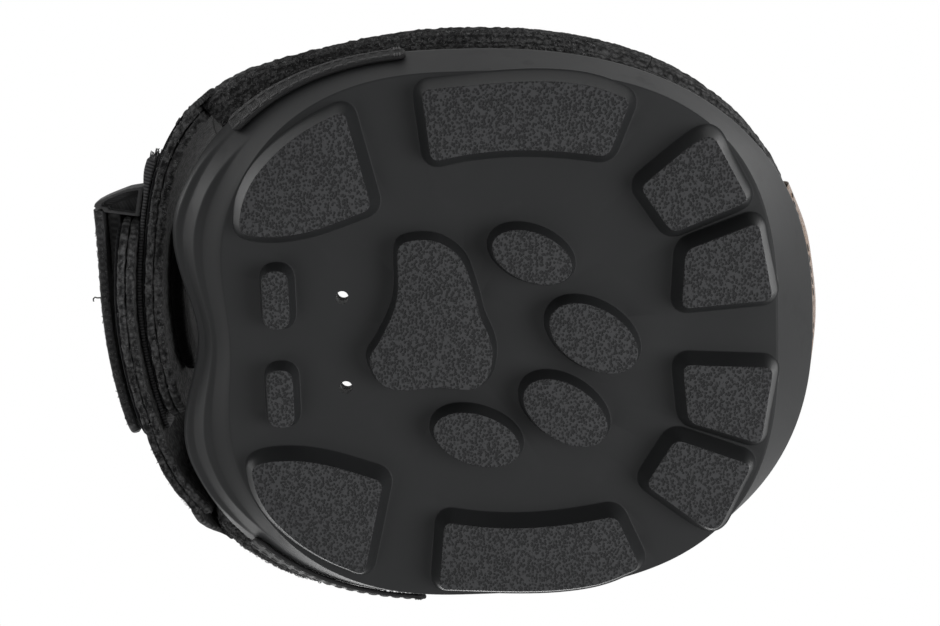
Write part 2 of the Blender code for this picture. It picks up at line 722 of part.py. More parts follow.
def make_upper_walls(parts, boot):
    seam = SEAM_GAP / BULGE_HALF_WIDTH / 2
    seam_turn = math.degrees(seam)
    front = PANEL_SEAM_ANGLE - seam_turn
    back = PANEL_SEAM_ANGLE + seam_turn
    shell = SHELL_THICKNESS
    add_wall("front_panel", -front, front, 0.0, shell, "textile", parts, boot)
    add_wall("left_quarter", back, LEFT_QUARTER_END_ANGLE, 0.0, shell, "textile", parts, boot)
    add_wall("right_quarter", -RIGHT_QUARTER_END_ANGLE, -back, 0.0, shell, "textile", parts, boot)
    lining_offset = -SHELL_THICKNESS - FIT_GAP
    thickness = LINING_THICKNESS
    add_wall("front_lining", -front, front, lining_offset, thickness, "lining", parts, boot)
    add_wall("left_lining", back, LEFT_QUARTER_END_ANGLE, lining_offset, thickness, "lining", parts, boot)
    add_wall("right_lining", -RIGHT_QUARTER_END_ANGLE, -back, lining_offset, thickness, "lining", parts, boot)


def make_seam_tapes(parts, boot):
    half_turn = math.degrees(SEAM_TAPE_WIDTH / 2 / BULGE_HALF_WIDTH)
    rows_used = slice(5, -2)
    for name, angle in (("left_seam_tape", PANEL_SEAM_ANGLE), ("right_seam_tape", -PANEL_SEAM_ANGLE)):
        angles = angles_between(angle - half_turn, angle + half_turn)
        rows = wall_rows(angles, FIT_GAP)[rows_used]
        obj = add_object(name, grid_mesh(name, rows), "tape", parts, boot)
        thicken(obj, TAPE_THICKNESS, outward=True)


def collar_pad_point(angle, wall_middle):
    """Centre of the collar pad, straight on from the wall's top edge."""
    edge = UPPER.point(angle, collar_edge(angle), wall_middle)
    below = UPPER.point(angle, collar_edge(angle) - COLLAR_TAPE_DROP, wall_middle)
    return edge + (edge - below).normalized() * (COLLAR_PAD_RADIUS + FIT_GAP)


def make_collar(parts, boot):
    angles = angles_between(-COLLAR_END_ANGLE, COLLAR_END_ANGLE)
    wall_middle = -(SHELL_THICKNESS + FIT_GAP + LINING_THICKNESS) / 2
    path = [collar_pad_point(angle, wall_middle) for angle in angles]
    pad = tube_mesh("collar_pad", path, COLLAR_PAD_RADIUS)
    add_object("collar_pad", pad, "lining", parts, boot)
    rows = []
    for drop in (COLLAR_TAPE_WIDTH, COLLAR_TAPE_DROP):
        rows.append([UPPER.point(angle, collar_edge(angle) - drop, FIT_GAP) for angle in angles])
    tape = add_object("collar_tape", grid_mesh("collar_tape", rows), "tape", parts, boot)
    thicken(tape, TAPE_THICKNESS, outward=True)


def make_toe_guard(parts, boot):
    sizes = (-TOE_GUARD_HALF_ANGLE, TOE_GUARD_HALF_ANGLE, TOE_GUARD_LOW, TOE_GUARD_HEIGHT, TOE_GUARD_CORNER)
    add_panel("toe_guard", UPPER, sizes, (SEAT_GAP, TOE_GUARD_THICKNESS), "brown_leather", parts, boot)


def make_rim_tabs(parts, boot):
    """Flat tabs sewn on the flared wall, just under the cup's lip."""
    radius = RIM_HALF_WIDTH
    for name, side in (("left_rim_tab", 1), ("right_rim_tab", -1)):
        angles = corner_angles(RIM_TAB_START_ANGLE, RIM_TAB_END_ANGLE, RIM_TAB_CORNER, radius)
        rows = []
        for share in (0.0, 1.0):
            row = []
            for angle in angles:
                inset = corner_inset(
                    angle, RIM_TAB_START_ANGLE, RIM_TAB_END_ANGLE, RIM_TAB_CORNER, radius, (True, True)
                )
                height = lerp(RIM_TAB_LOW + inset, RIM_TAB_LOW + RIM_TAB_HEIGHT - inset, share)
                wall = cup_outer_radius(angle, height) + FIT_GAP
                row.append(plan_point(CUP_CENTRE, wall, side * angle, height))
            rows.append(row[::side])
        obj = add_object(name, grid_mesh(name, rows), "black_leather", parts, boot)
        thicken(obj, RIM_TAB_THICKNESS, outward=True)


def sole_place(parent):
    """Where a parent's origin is in the sole's frame."""
    place = Vector()
    while parent.parent:
        place += parent.location
        parent = parent.parent
    return place


def add_pivot(name, place, collection, parent):
    pivot = bpy.data.objects.new(name, None)
    collection.objects.link(pivot)
    pivot.parent = parent
    pivot.location = place - sole_place(parent)
    return pivot


def make_inner_flap(parts, pivot):
    start, stop = INNER_FLAP_END_ANGLE, INNER_FLAP_ROOT_ANGLE
    sizes = (start, stop, FLAP_LOW, FLAP_HEIGHT, FLAP_CORNER)
    ends = (True, False)
    shell = (-SHELL_THICKNESS, SHELL_THICKNESS)
    add_panel("inner_flap_shell", HEEL, sizes, shell, "textile", parts, pivot, ends=ends)
    lining = (-SHELL_THICKNESS - FIT_GAP - LINING_THICKNESS, LINING_THICKNESS)
    add_panel("inner_flap_lining", HEEL, sizes, lining, "lining", parts, pivot, ends=ends)
    patch = (start + PATCH_INSET_ANGLE, stop, FLAP_LOW + HOOK_INSET, FLAP_HEIGHT - 2 * HOOK_INSET, HOOK_INSET)
    add_panel("inner_flap_loop_patch", HEEL, patch, (LOOP_OFFSET, LOOP_THICKNESS), "loop_pile", parts, pivot)
    pad_height = FLAP_HEIGHT - 2 * HEEL_PAD_INSET
    pad = (HEEL_PAD_ANGLE, HEEL_PAD_END_ANGLE, FLAP_LOW + HEEL_PAD_INSET, pad_height, FLAP_CORNER)
    pad_layer = (lining[0] - FIT_GAP - HEEL_PAD_THICKNESS, HEEL_PAD_THICKNESS)
    add_panel("heel_pad", HEEL, pad, pad_layer, "lining", parts, pivot)


def outer_flap_shift(angle):
    """The outer flap lies on the quarter at its root and rises over the inner flap further on."""
    rise = min(1.0, max(0.0, (angle - OUTER_FLAP_ROOT_ANGLE) / (HOOK_START_ANGLE - OUTER_FLAP_ROOT_ANGLE)))
    return (FLAP_LINING_OFFSET - FIT_GAP) * (math.sin(math.pi / 2 * rise) - 1)


def make_outer_flap(parts, pivot):
    start, stop = OUTER_FLAP_ROOT_ANGLE, OUTER_FLAP_END_ANGLE
    sizes = (start, stop, FLAP_LOW, FLAP_HEIGHT, FLAP_CORNER)
    form = {"shift": outer_flap_shift, "ends": (False, True)}
    lining = (FLAP_LINING_OFFSET, FLAP_LINING_THICKNESS)
    add_panel("outer_flap_lining", HEEL, sizes, lining, "lining", parts, pivot, **form)
    shell = (FLAP_SHELL_OFFSET, FLAP_SHELL_THICKNESS)
    add_panel("outer_flap_shell", HEEL, sizes, shell, "textile", parts, pivot, **form)
    hook_height = FLAP_HEIGHT - 2 * HOOK_INSET
    hook_end = stop + HOOK_OVERHANG_ANGLE
    hook = (HOOK_START_ANGLE, hook_end, FLAP_LOW + HOOK_INSET, hook_height, HOOK_INSET / 5)
    add_panel("outer_flap_hook_tape", HEEL, hook, (HOOK_OFFSET, HOOK_THICKNESS), "hook_tape", parts, pivot)
    loop_low = STRAP_LOW - STRAP_PATCH_INSET
    loop_height = STRAP_WIDTH + 2 * STRAP_PATCH_INSET
    loop = (HOOK_START_ANGLE, stop - PATCH_INSET_ANGLE, loop_low, loop_height, HOOK_INSET)
    loop_layer = (OUTER_LOOP_OFFSET, LOOP_THICKNESS)
    add_panel("outer_flap_loop_patch", HEEL, loop, loop_layer, "loop_pile", parts, pivot)


def strap_lift(angle):
    """The strap rises from the flap behind its hook patch, up to its sewn end."""
    start = STRAP_END_ANGLE + STRAP_PATCH_LENGTH_ANGLE
    share = max(0.0, (angle - start) / (STRAP_ROOT_ANGLE - start))
    return STRAP_ROOT_LIFT * share**3


def make_strap_anchor(parts, pivot):
    """The folded webbing that carries the strap round the free end of the outer flap."""
    inner = FLAP_LINING_OFFSET
    strap = STRAP_OFFSET + STRAP_ROOT_LIFT
    outer = strap + STRAP_THICKNESS
    plan = [(angle, lerp(inner, outer, share)) for angle, share in ANCHOR_PLAN]
    plan += [(ANCHOR_STRAP_ANGLE, strap), (ANCHOR_FLAP_ANGLE, strap - FIT_GAP), (ANCHOR_FLAP_ANGLE, inner)]
    heights = (STRAP_LOW, STRAP_LOW + STRAP_WIDTH / 2, STRAP_LOW + STRAP_WIDTH)
    rings = [[HEEL.point(angle, height, offset) for angle, offset in plan] for height in heights]
    add_object("strap_anchor", loft_closed("strap_anchor", rings), "webbing", parts, pivot)


def make_strap(parts, pivot):
    start, stop = STRAP_END_ANGLE, STRAP_ROOT_ANGLE
    sizes = (start, stop, STRAP_LOW, STRAP_WIDTH, STRAP_CORNER)
    webbing = (STRAP_OFFSET, STRAP_THICKNESS)
    form = {"shift": strap_lift, "ends": (True, False)}
    add_panel("strap_webbing", HEEL, sizes, webbing, "webbing", parts, pivot, **form)
    low = STRAP_LOW + STRAP_PATCH_INSET
    height = STRAP_WIDTH - 2 * STRAP_PATCH_INSET
    patch = (STRAP_PATCH_OFFSET, STRAP_PATCH_THICKNESS)
    hook = (start + PATCH_INSET_ANGLE, start + STRAP_PATCH_LENGTH_ANGLE, low, height, STRAP_PATCH_INSET)
    add_panel("strap_hook_patch", HEEL, hook, patch, "hook_tape", parts, pivot)


def boot_middle():
    """Half way between the toe guard's front and the strap's back, in the sole's frame."""
    front = UPPER.point(0.0, BULGE_HEIGHT, SEAT_GAP + TOE_GUARD_THICKNESS).y
    outer = STRAP_OFFSET + STRAP_THICKNESS
    angles = angles_between(STRAP_END_ANGLE, STRAP_ROOT_ANGLE)
    levels = [level for level in flap_levels(0.0) if STRAP_LOW < level < STRAP_LOW + STRAP_WIDTH]
    back = max(HEEL.point(angle, level, outer + strap_lift(angle)).y for angle in angles for level in levels)
    return (front + back) / 2


def make_boot_root(collection):
    boot = bpy.data.objects.new("boot", None)
    collection.objects.link(boot)
    boot.location = (0.0, -boot_middle(), 0.0)
    return boot


def make_flaps(parts, boot):
    inner_place = HEEL.point(INNER_FLAP_ROOT_ANGLE, FLAP_LOW, FIT_GAP)
    inner_pivot = add_pivot("inner_flap_hinge", inner_place, parts, boot)
    make_inner_flap(parts, inner_pivot)
    root_offset = FIT_GAP + FLAP_LINING_THICKNESS + FIT_GAP + FLAP_SHELL_THICKNESS
    outer_place = HEEL.point(OUTER_FLAP_ROOT_ANGLE, FLAP_LOW, root_offset)
    outer_pivot = add_pivot("outer_flap_hinge", outer_place, parts, boot)
    make_outer_flap(parts, outer_pivot)
    make_strap_anchor(parts, outer_pivot)
    strap_outer = STRAP_OFFSET + STRAP_ROOT_LIFT + STRAP_THICKNESS
    strap_place = HEEL.point(STRAP_ROOT_ANGLE, FLAP_LOW, strap_outer)
    strap_pivot = add_pivot("strap_hinge", strap_place, parts, outer_pivot)
    make_strap(parts, strap_pivot)


def main():
    clear_scene()
    parts = new_collection("hoof_boot")
    cutters = new_collection("cutters")
    boot = make_boot_root(parts)
    drains = make_outsole(parts, cutters, boot)
    make_insole(parts, boot, drains)
    make_upper_walls(parts, boot)
    make_seam_tapes(parts, boot)
    make_collar(parts, boot)
    make_toe_guard(parts, boot)
    make_rim_tabs(parts, boot)
    make_flaps(parts, boot)


main()
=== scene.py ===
"""Looks of the horse hoof boot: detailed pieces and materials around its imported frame.

The toe points along -Y, the heel along +Y, and the lugs stand on z = 0. All sizes are in metres.
Angles round the boot are measured from the toe: 0 at the toe, +90 on the left side, 180 behind the heel.
"""

import math
from collections import namedtuple

import bmesh
import bpy
from mathutils import Matrix, Vector, noise


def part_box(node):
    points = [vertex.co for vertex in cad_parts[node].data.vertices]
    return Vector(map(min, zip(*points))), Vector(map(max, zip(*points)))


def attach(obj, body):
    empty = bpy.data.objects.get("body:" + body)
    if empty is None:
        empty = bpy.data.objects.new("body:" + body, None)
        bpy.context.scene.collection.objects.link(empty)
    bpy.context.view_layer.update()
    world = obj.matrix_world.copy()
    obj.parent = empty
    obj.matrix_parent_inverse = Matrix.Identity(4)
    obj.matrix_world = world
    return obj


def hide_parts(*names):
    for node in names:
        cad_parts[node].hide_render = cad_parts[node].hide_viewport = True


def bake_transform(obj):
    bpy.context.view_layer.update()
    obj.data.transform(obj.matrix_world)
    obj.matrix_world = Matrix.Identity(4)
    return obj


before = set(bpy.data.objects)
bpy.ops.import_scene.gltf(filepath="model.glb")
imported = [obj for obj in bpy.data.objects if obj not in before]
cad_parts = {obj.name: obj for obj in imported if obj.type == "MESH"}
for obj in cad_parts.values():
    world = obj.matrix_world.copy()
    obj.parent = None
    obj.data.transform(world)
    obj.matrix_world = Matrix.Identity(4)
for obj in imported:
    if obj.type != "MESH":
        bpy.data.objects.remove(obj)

bl_info = {
    "name": "Hoof boot",
    "version": (1, 0, 0),
    "blender": (4, 5, 0),
    "location": "3D View > Sidebar > Hoof Boot",
    "description": "Builds the pieces and materials of a horse hoof boot",
    "category": "Add Mesh",
}

# The boot's shape, as its frame has it
Outline = namedtuple("Outline", "centre front rear half_width front_power rear_power notch")
RIM_OUTLINE = Outline(0.0100, 0.0954, 0.0800, 0.0748, 2.40, 2.50, 0.0090)
BASE_OUTLINE = Outline(0.0100, 0.0838, 0.0645, 0.0703, 2.90, 2.45, 0.0040)
NOTCH_HALF_WIDTH = 0.0360
LUG_HEIGHT = 0.0070
FLOOR_HEIGHT = 0.0120
CUP_HEIGHT = 0.0260
CUP_WALL = 0.0040
CUP_PROFILE_SHARES = (
    (0.00, 0.00), (0.10, 0.07), (0.40, 0.30), (0.54, 0.34),
    (0.78, 0.62), (0.92, 0.67), (1.00, 0.84), (1.00, 1.00),
)
LIP_SHARE = 0.84
STEPS_START_ANGLE = 132.0
STEPS_FULL_ANGLE = 150.0
TREAD_DRAFT = 0.0024
PAD_DRAFT = 0.0011
CORNER_RADIUS = 0.0025
GENTLE_BEND = 38.0
BEND_SHARE = 0.45
SIDE_LUG_SHARES = (
    (-0.184, 0.640), (-0.066, 0.664), (0.063, 0.673), (0.204, 0.664), (0.350, 0.638), (0.423, 0.832),
    (0.290, 0.895), (0.106, 0.912), (-0.207, 0.890)
)
HEEL_LUG_SHARES = (
    (-0.775, 0.418), (-0.720, 0.398), (-0.625, 0.398), (-0.525, 0.420), (-0.366, 0.485), (-0.438, 0.830),
    (-0.555, 0.770), (-0.648, 0.695), (-0.722, 0.606), (-0.762, 0.518)
)
FRONT_LUG_SHARES = ((0.576, 0.306), (0.562, 0.098), (0.842, 0.119), (0.800, 0.396))
CORNER_LUG_SHARES = ((0.441, 0.530), (0.537, 0.365), (0.773, 0.468), (0.668, 0.700), (0.622, 0.694))
HEEL_BAR_CENTRE_SHARES = (-0.671, 0.176)
HEEL_BAR_LENGTH = 0.0156
HEEL_BAR_WIDTH = 0.0070
DRAIN_CENTRE_SHARES = (-0.474, 0.162)
DRAIN_DIAMETER = 0.0034
DRAIN_DEPTH = 0.020
CENTRE_PAD_SHARES = (
    (-0.286, -0.364), (-0.233, -0.376), (-0.176, -0.369), (-0.130, -0.338), (-0.094, -0.293),
    (-0.064, -0.174), (-0.050, -0.092), (-0.023, -0.023), (-0.013, 0.039), (-0.027, 0.120),
    (-0.063, 0.159), (-0.098, 0.168), (-0.192, 0.151), (-0.309, 0.164), (-0.368, 0.135),
    (-0.393, 0.072), (-0.396, 0.031), (-0.362, -0.016), (-0.297, -0.163), (-0.299, -0.330),
)
OvalPad = namedtuple("OvalPad", "forward_share cross_share half_length_share half_width_share turn")
OVAL_PADS = (
    OvalPad(0.112, -0.298, 0.147, 0.087, 24.0),
    OvalPad(0.293, -0.005, 0.171, 0.106, 33.0),
    OvalPad(0.201, 0.259, 0.166, 0.100, 35.0),
    OvalPad(-0.074, 0.346, 0.158, 0.092, 20.0),
)
FIT_GAP = 0.0003
SEAT_GAP = 0.0005
INSOLE_THICKNESS = 0.0040
INSOLE_GAP = 0.0008
SEAM_ANGLE = 52.0
SEAM_HALF_GAP = 0.04
SEAM_TAPE_HALF_WIDTH = 0.0070
SEAM_TAPE_HEIGHTS = (0.0464, 0.0743)
TAPE_THICKNESS = 0.0010
COLLAR_END = 124.0
COLLAR_RADIUS = 0.0062
COLLAR_TAPE_DROPS = (0.0110, 0.0020)
GUARD_ENDS = (-20.6, 21.0)
GUARD_HEIGHTS = (0.0316, 0.0640)
GUARD_THICKNESS = 0.0016
RIM_TAB_STARTS = {"left": 99.0, "right": -136.0}
RIM_TAB_TURN = 37.0
RIM_TAB_HEIGHTS = (0.0168, 0.0226)
RIM_TAB_THICKNESS = 0.0013
UPPER_FOOT = 0.0166
BULGE_HEIGHT = 0.0390
STATIONS = (
    (BULGE_HEIGHT, Outline(0.0100, 0.0958, 0.0855, 0.0790, 2.35, 2.60, 0.0)),
    (0.0600, Outline(0.0180, 0.0855, 0.0780, 0.0762, 2.25, 2.40, 0.0)),
    (0.0820, Outline(0.0260, 0.0735, 0.0705, 0.0695, 2.15, 2.30, 0.0)),
    (0.1040, Outline(0.0340, 0.0640, 0.0625, 0.0615, 2.10, 2.25, 0.0)),
)
Sway = namedtuple("Sway", "start full fade stop size")
HEEL_SWAYS = (
    Sway(139.5, 146.0, 155.0, 186.0, -0.0038),
    Sway(193.0, 219.0, 219.0, 245.0, 0.0030),
    Sway(108.0, 126.0, 134.0, 146.0, 0.0012),
    Sway(226.0, 246.0, 246.0, 270.0, -0.0013),
)
LEFT_QUARTER_END = 155.0
RIGHT_QUARTER_END = 138.0
INNER_FLAP_END = 162.5
INNER_FLAP_ROOT = 221.7
COLLAR_DROP = 0.0160
SHELL_THICKNESS = 0.0020
LINING_THICKNESS = 0.0024
LINING_OFFSET = -SHELL_THICKNESS - FIT_GAP - LINING_THICKNESS
FLAP_LOW = 0.0275
FLAP_HEIGHT = 0.0560
FLAP_CORNER = 0.0100
FLAP_SEAM_HEIGHTS = (FLAP_LOW + 0.0034, FLAP_LOW + FLAP_HEIGHT - 0.0034)
ON_CLOTH = 0.00002
FLAP_PADDING = 0.0022
PILE_THICKNESS = 0.0009
WAVE_HEIGHT = 0.00026
HOOK_THICKNESS = 0.0013
HOOK_INSET = 0.0050
HEEL_PAD_ENDS = (168.0, 200.0)
HEEL_PAD_THICKNESS = 0.0037
HEEL_PAD_INSET = 0.0145
HEEL_PAD_ROOM = 0.0004
# How far each layer's inner side lies off the heel's face
FLAP_LAYERS = {"loop": 0.0003, "hook": 0.0015, "lining": 0.0031, "shell": 0.0056, "outer_loop": 0.0079}
OUTER_FLAP_ROOT = 144.0
OUTER_FLAP_END = 200.0
HOOK_START = 161.0
HOOK_END = 210.3
STRAP_OFFSET = 0.0102
STRAP_THICKNESS = 0.0026
STRAP_LOW = 0.0330
STRAP_WIDTH = 0.0280
STRAP_END = 161.5
STRAP_ROOT = 200.5
STRAP_ROOT_LIFT = 0.0032
STRAP_PATCH_TURN = 13.0
ANCHOR_FLAP_ANGLE = 200.4
ANCHOR_PLAN = ((205.6, 0.0), (204.6, 0.35), (202.6, 0.80), (201.7, 0.97), (200.9, 1.0))
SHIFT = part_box("outsole")[0].y + RIM_OUTLINE.front - RIM_OUTLINE.centre

# Distances between points, and the camera's aim
TREAD_STEP = 0.0005
FOLD_STEP = 0.0004
CAMERA_AIM = (-0.00824, 0.00697)


def lerp(low, high, share):
    return low + (high - low) * share


def smoothstep(low, high, value):
    share = min(1.0, max(0.0, (value - low) / (high - low)))
    return share * share * (3 - 2 * share)


def plan_radius(outline, angle):
    """Distance from the plan centre to the outline, in the direction of an angle."""
    turn = math.radians(angle)
    ahead = math.cos(turn) >= 0
    reach = outline.front if ahead else outline.rear
    power = outline.front_power if ahead else outline.rear_power
    along = abs(math.cos(turn)) / reach
    across = abs(math.sin(turn)) / outline.half_width
    radius = (along**power + across**power) ** (-1 / power)
    side = abs(math.sin(turn)) * radius
    if not ahead and side < NOTCH_HALF_WIDTH:
        radius -= outline.notch * math.cos(math.pi / 2 * side / NOTCH_HALF_WIDTH) ** 2
    return radius


def plan_point(centre, radius, angle, height):
    turn = math.radians(angle)
    return Vector((math.sin(turn) * radius, centre - math.cos(turn) * radius + SHIFT, height))


def eased(value, start, stop):
    """0 before the start, 1 after the stop, and a smooth rise between them."""
    share = min(1.0, max(0.0, (value - start) / (stop - start)))
    return math.sin(math.pi / 2 * share) ** 2


def swayed_point(outline, angle, height):
    """A point of the textile, which stands in or out of its outline on the quarters."""
    radius = plan_radius(outline, angle)
    turn = angle % 360
    for sway in HEEL_SWAYS:
        radius += sway.size * eased(turn, sway.start, sway.full) * (1 - eased(turn, sway.fade, sway.stop))
    return plan_point(outline.centre, radius, angle, height)


def share_along(pairs, value):
    for (low, start), (high, stop) in zip(pairs, pairs[1:]):
        if value <= stop:
            return lerp(low, high, (value - start) / (stop - start))
    return pairs[-1][0]


def cup_flare(angle, height, stepped_flare):
    """Share of the cup's flare: stepped behind the heel, straight out to the lip ahead of it."""
    share = (height - LUG_HEIGHT) / (CUP_HEIGHT - LUG_HEIGHT)
    from_toe = abs((angle + 180) % 360 - 180)
    stepped = eased(from_toe, STEPS_START_ANGLE, STEPS_FULL_ANGLE)
    return lerp(min(1.0, share / LIP_SHARE), stepped_flare, stepped)


def cup_outer_radius(angle, height):
    share = (height - LUG_HEIGHT) / (CUP_HEIGHT - LUG_HEIGHT)
    flare = cup_flare(angle, height, share_along(CUP_PROFILE_SHARES, share))
    return lerp(plan_radius(BASE_OUTLINE, angle), plan_radius(RIM_OUTLINE, angle), flare)


def cup_inner_radius(angle, height):
    straight = (height - LUG_HEIGHT) / (CUP_HEIGHT - LUG_HEIGHT)
    return lerp(plan_radius(BASE_OUTLINE, angle), plan_radius(RIM_OUTLINE, angle), straight) - CUP_WALL


def station_slope(index):
    if index == 0:
        return Outline(*(0.0 for _ in Outline._fields))
    low, first = STATIONS[index - 1]
    high, second = STATIONS[min(index + 1, len(STATIONS) - 1)]
    return Outline(*((b - a) / (high - low) for a, b in zip(first, second)))


def upper_outline(height):
    """Outline of the upper's outer face above the swell, run smoothly through the stations."""
    index = 0
    while index < len(STATIONS) - 2 and height > STATIONS[index + 1][0]:
        index += 1
    low, first = STATIONS[index]
    high, second = STATIONS[index + 1]
    span = high - low
    t = min(1.0, (height - low) / span)
    starts = zip(first, second, station_slope(index), station_slope(index + 1))
    weights = (
        2 * t**3 - 3 * t**2 + 1, 3 * t**2 - 2 * t**3, (t**3 - 2 * t**2 + t) * span, (t**3 - t**2) * span
    )
    return Outline(*(sum(w * value for w, value in zip(weights, values)) for values in starts))


def upper_face(angle, height):
    """Outer face of the upper: inside the cup, out over the rim, then in and back to the collar."""
    cup_top = CUP_HEIGHT + FIT_GAP
    if height <= cup_top:
        radius = cup_inner_radius(angle, min(height, CUP_HEIGHT)) - SEAT_GAP
        return plan_point(BASE_OUTLINE.centre, radius, angle, height)
    if height < BULGE_HEIGHT:
        start = cup_inner_radius(angle, CUP_HEIGHT) - SEAT_GAP
        swell = math.sin(math.pi / 2 * (height - cup_top) / (BULGE_HEIGHT - cup_top))
        foot = plan_point(BASE_OUTLINE.centre, start, angle, height)
        return lerp(foot, swayed_point(STATIONS[0][1], angle, height), swell)
    return swayed_point(upper_outline(height), angle, height)


def flap_face(angle, height):
    """The face that the heel flaps lie on: upright below the swell's height, then as the upper."""
    level = max(height, BULGE_HEIGHT)
    point = swayed_point(upper_outline(level), angle, level)
    return Vector((point.x, point.y, height))


def cup_wall_face(angle, height):
    return plan_point(RIM_OUTLINE.centre, cup_outer_radius(angle, height), angle, height)


def collar_edge(angle):
    return STATIONS[-1][0] - COLLAR_DROP * (1 - math.cos(math.radians(angle))) / 2


class Face:
    """A curved face kept as a fine grid, which is read between its points."""

    TURN = 1.0
    RISE = 0.00075

    def __init__(self, shape):
        self.shape = shape
        self.nodes = {}

    def node(self, column, row, offset):
        key = (column, row)
        if key not in self.nodes:
            angle, height = column * self.TURN, row * self.RISE
            around = self.shape(angle + 0.5, height) - self.shape(angle - 0.5, height)
            upward = self.shape(angle, height + FIT_GAP) - self.shape(angle, height - FIT_GAP)
            self.nodes[key] = (self.shape(angle, height), around.cross(upward).normalized())
        place, normal = self.nodes[key]
        return place + normal * offset

    def point(self, angle, height, offset=0.0):
        """A point that stands off the face by a distance."""
        turn, rise = angle / self.TURN, height / self.RISE
        column, row = math.floor(turn), math.floor(rise)
        low = lerp(self.node(column, row, offset), self.node(column + 1, row, offset), turn - column)
        high = lerp(self.node(column, row + 1, offset), self.node(column + 1, row + 1, offset), turn - column)
        return lerp(low, high, rise - row)


UPPER = Face(upper_face)
HEEL = Face(flap_face)
WALL = Face(cup_wall_face)


class Wire:
    """A node's output that is used in sums like a number."""

    def __init__(self, graph, socket):
        self.graph = graph
        self.socket = socket

    def __add__(self, other):
        return self.graph.math("ADD", self, other)

    __radd__ = __add__

    def __mul__(self, other):
        return self.graph.math("MULTIPLY", self, other)

    __rmul__ = __mul__

    def __sub__(self, other):
        return self.graph.math("SUBTRACT", self, other)

    def __rsub__(self, other):
        return self.graph.math("SUBTRACT", other, self)


class Graph:
    """A node tree with short calls for its nodes."""

    def __init__(self, tree):
        self.tree = tree

    def add(self, kind, settings=None, inputs=None):
        node = self.tree.nodes.new(kind)
        for name, value in (settings or {}).items():
            setattr(node, name, value)
        for name, value in (inputs or {}).items():
            self.feed(node.inputs[name], value)
        return node

    def made(self, kind, inputs=None, output=0, **settings):
        """The output of a new node."""
        return self.wire(self.add(kind, settings, inputs), output)

    def feed(self, socket, value):
        if isinstance(value, Wire):
            self.tree.links.new(value.socket, socket)
        else:
            socket.default_value = value

    def wire(self, node, output=0):
        return Wire(self, node.outputs[output])

    def math(self, operation, first, second=0.0):
        return self.made("ShaderNodeMath", {0: first, 1: second}, operation=operation)

    def ramp(self, value, low, high, start=0.0, stop=1.0):
        """A smooth rise from start to stop while the value goes from low to high."""
        inputs = {"Value": value, "From Min": low, "From Max": high, "To Min": start, "To Max": stop}
        return self.made("ShaderNodeMapRange", inputs, interpolation_type="SMOOTHSTEP")

    def mix(self, factor, first, second):
        """A mix of two colours, each a wire or three numbers."""
        first, second = (
            (*colour, 1.0) if isinstance(colour, tuple) else colour for colour in (first, second)
        )
        return self.made("ShaderNodeMix", {"Factor": factor, 6: first, 7: second}, 2, data_type="RGBA")

    def noise(self, place, scale, detail=3.0, roughness=0.55):
        inputs = {"Vector": place, "Scale": scale, "Detail": detail, "Roughness": roughness}
        return self.made("ShaderNodeTexNoise", inputs)

    def cells(self, place, scale, feature="F1"):
        return self.made("ShaderNodeTexVoronoi", {"Vector": place, "Scale": scale}, feature=feature)

    def scaled(self, place, scale):
        return self.made("ShaderNodeVectorMath", {0: place, 1: scale}, operation="MULTIPLY")

    def shifted(self, place, offset):
        return self.made("ShaderNodeVectorMath", {0: place, 1: offset}, operation="ADD")

    def parts_of(self, place):
        node = self.add("ShaderNodeSeparateXYZ", None, {0: place})
        return self.wire(node, 0), self.wire(node, 1), self.wire(node, 2)

    def bump(self, height, distance, strength=1.0, normal=None):
        inputs = {"Height": height, "Distance": distance, "Strength": strength}
        if normal:
            inputs["Normal"] = normal
        return self.made("ShaderNodeBump", inputs)


def new_material(name):
    material = bpy.data.materials.new(name)
    material.use_nodes = True
    graph = Graph(material.node_tree)
    return material, graph, material.node_tree.nodes["Principled BSDF"]


def object_place(graph):
    return graph.made("ShaderNodeTexCoord", output="Object")


def cloth_place(graph):
    """Metres along and across the cloth."""
    return graph.made("ShaderNodeUVMap", uv_map="cloth")


def paint(graph, shader, colour, roughness, normal, specular=None):
    graph.feed(shader.inputs["Base Color"], colour)
    graph.feed(shader.inputs["Roughness"], roughness)
    graph.feed(shader.inputs["Normal"], normal)
    if specular is not None:
        shader.inputs["Specular IOR Level"].default_value = specular


def paler(colour, factor):
    return tuple(min(1.0, value * factor) for value in colour)


# Looks: colours are linear, scales are per metre and depths are in metres
GROUND_FACE_HEIGHTS = (0.00012, 0.00040)
RUBBER_TONES = ((0.0105, 0.0110, 0.0115), (0.0150, 0.0155, 0.0160))
# Tone of the painted sheen: lighter blotches on the smooth rubber
SHEEN_BLOTCH_TONE = (0.026, 0.026, 0.027)
# Ground faces' tones: painted shade in the pebbles' pits, painted light on their tops
PEBBLE_TONES = ((0.0115, 0.0117, 0.0122), (0.0370, 0.0375, 0.0390))
Knit = namedtuple("Knit", "dark light scale depth fuzz")
KNITS = {
    "textile": Knit((0.0040, 0.0040, 0.0042), (0.090, 0.090, 0.091), 640.0, 0.00060, 0.5),
    # Lining: black cloth, painted darker still as the shade inside the boot's hollow
    "lining": Knit((0.0018, 0.0018, 0.0020), (0.0060, 0.0060, 0.0064), 900.0, 0.00030, 0.1),
    "loop_pile": Knit((0.003, 0.003, 0.004), (0.016, 0.016, 0.017), 1400.0, 0.00045, 0.25),
}
Weave = namedtuple("Weave", "dark light along_count across_count depth ribbed")
WEAVES = {
    "tape": Weave((0.005, 0.005, 0.006), (0.024, 0.024, 0.025), 900.0, 700.0, 0.00016, 0.0),
    "webbing": Weave((0.0050, 0.0050, 0.0053), (0.048, 0.048, 0.049), 620.0, 480.0, 0.00032, 0.6),
    "hook_tape": Weave((0.004, 0.004, 0.005), (0.075, 0.075, 0.077), 1250.0, 300.0, 0.00040, 0.0),
}
Leather = namedtuple("Leather", "dark light roughness")
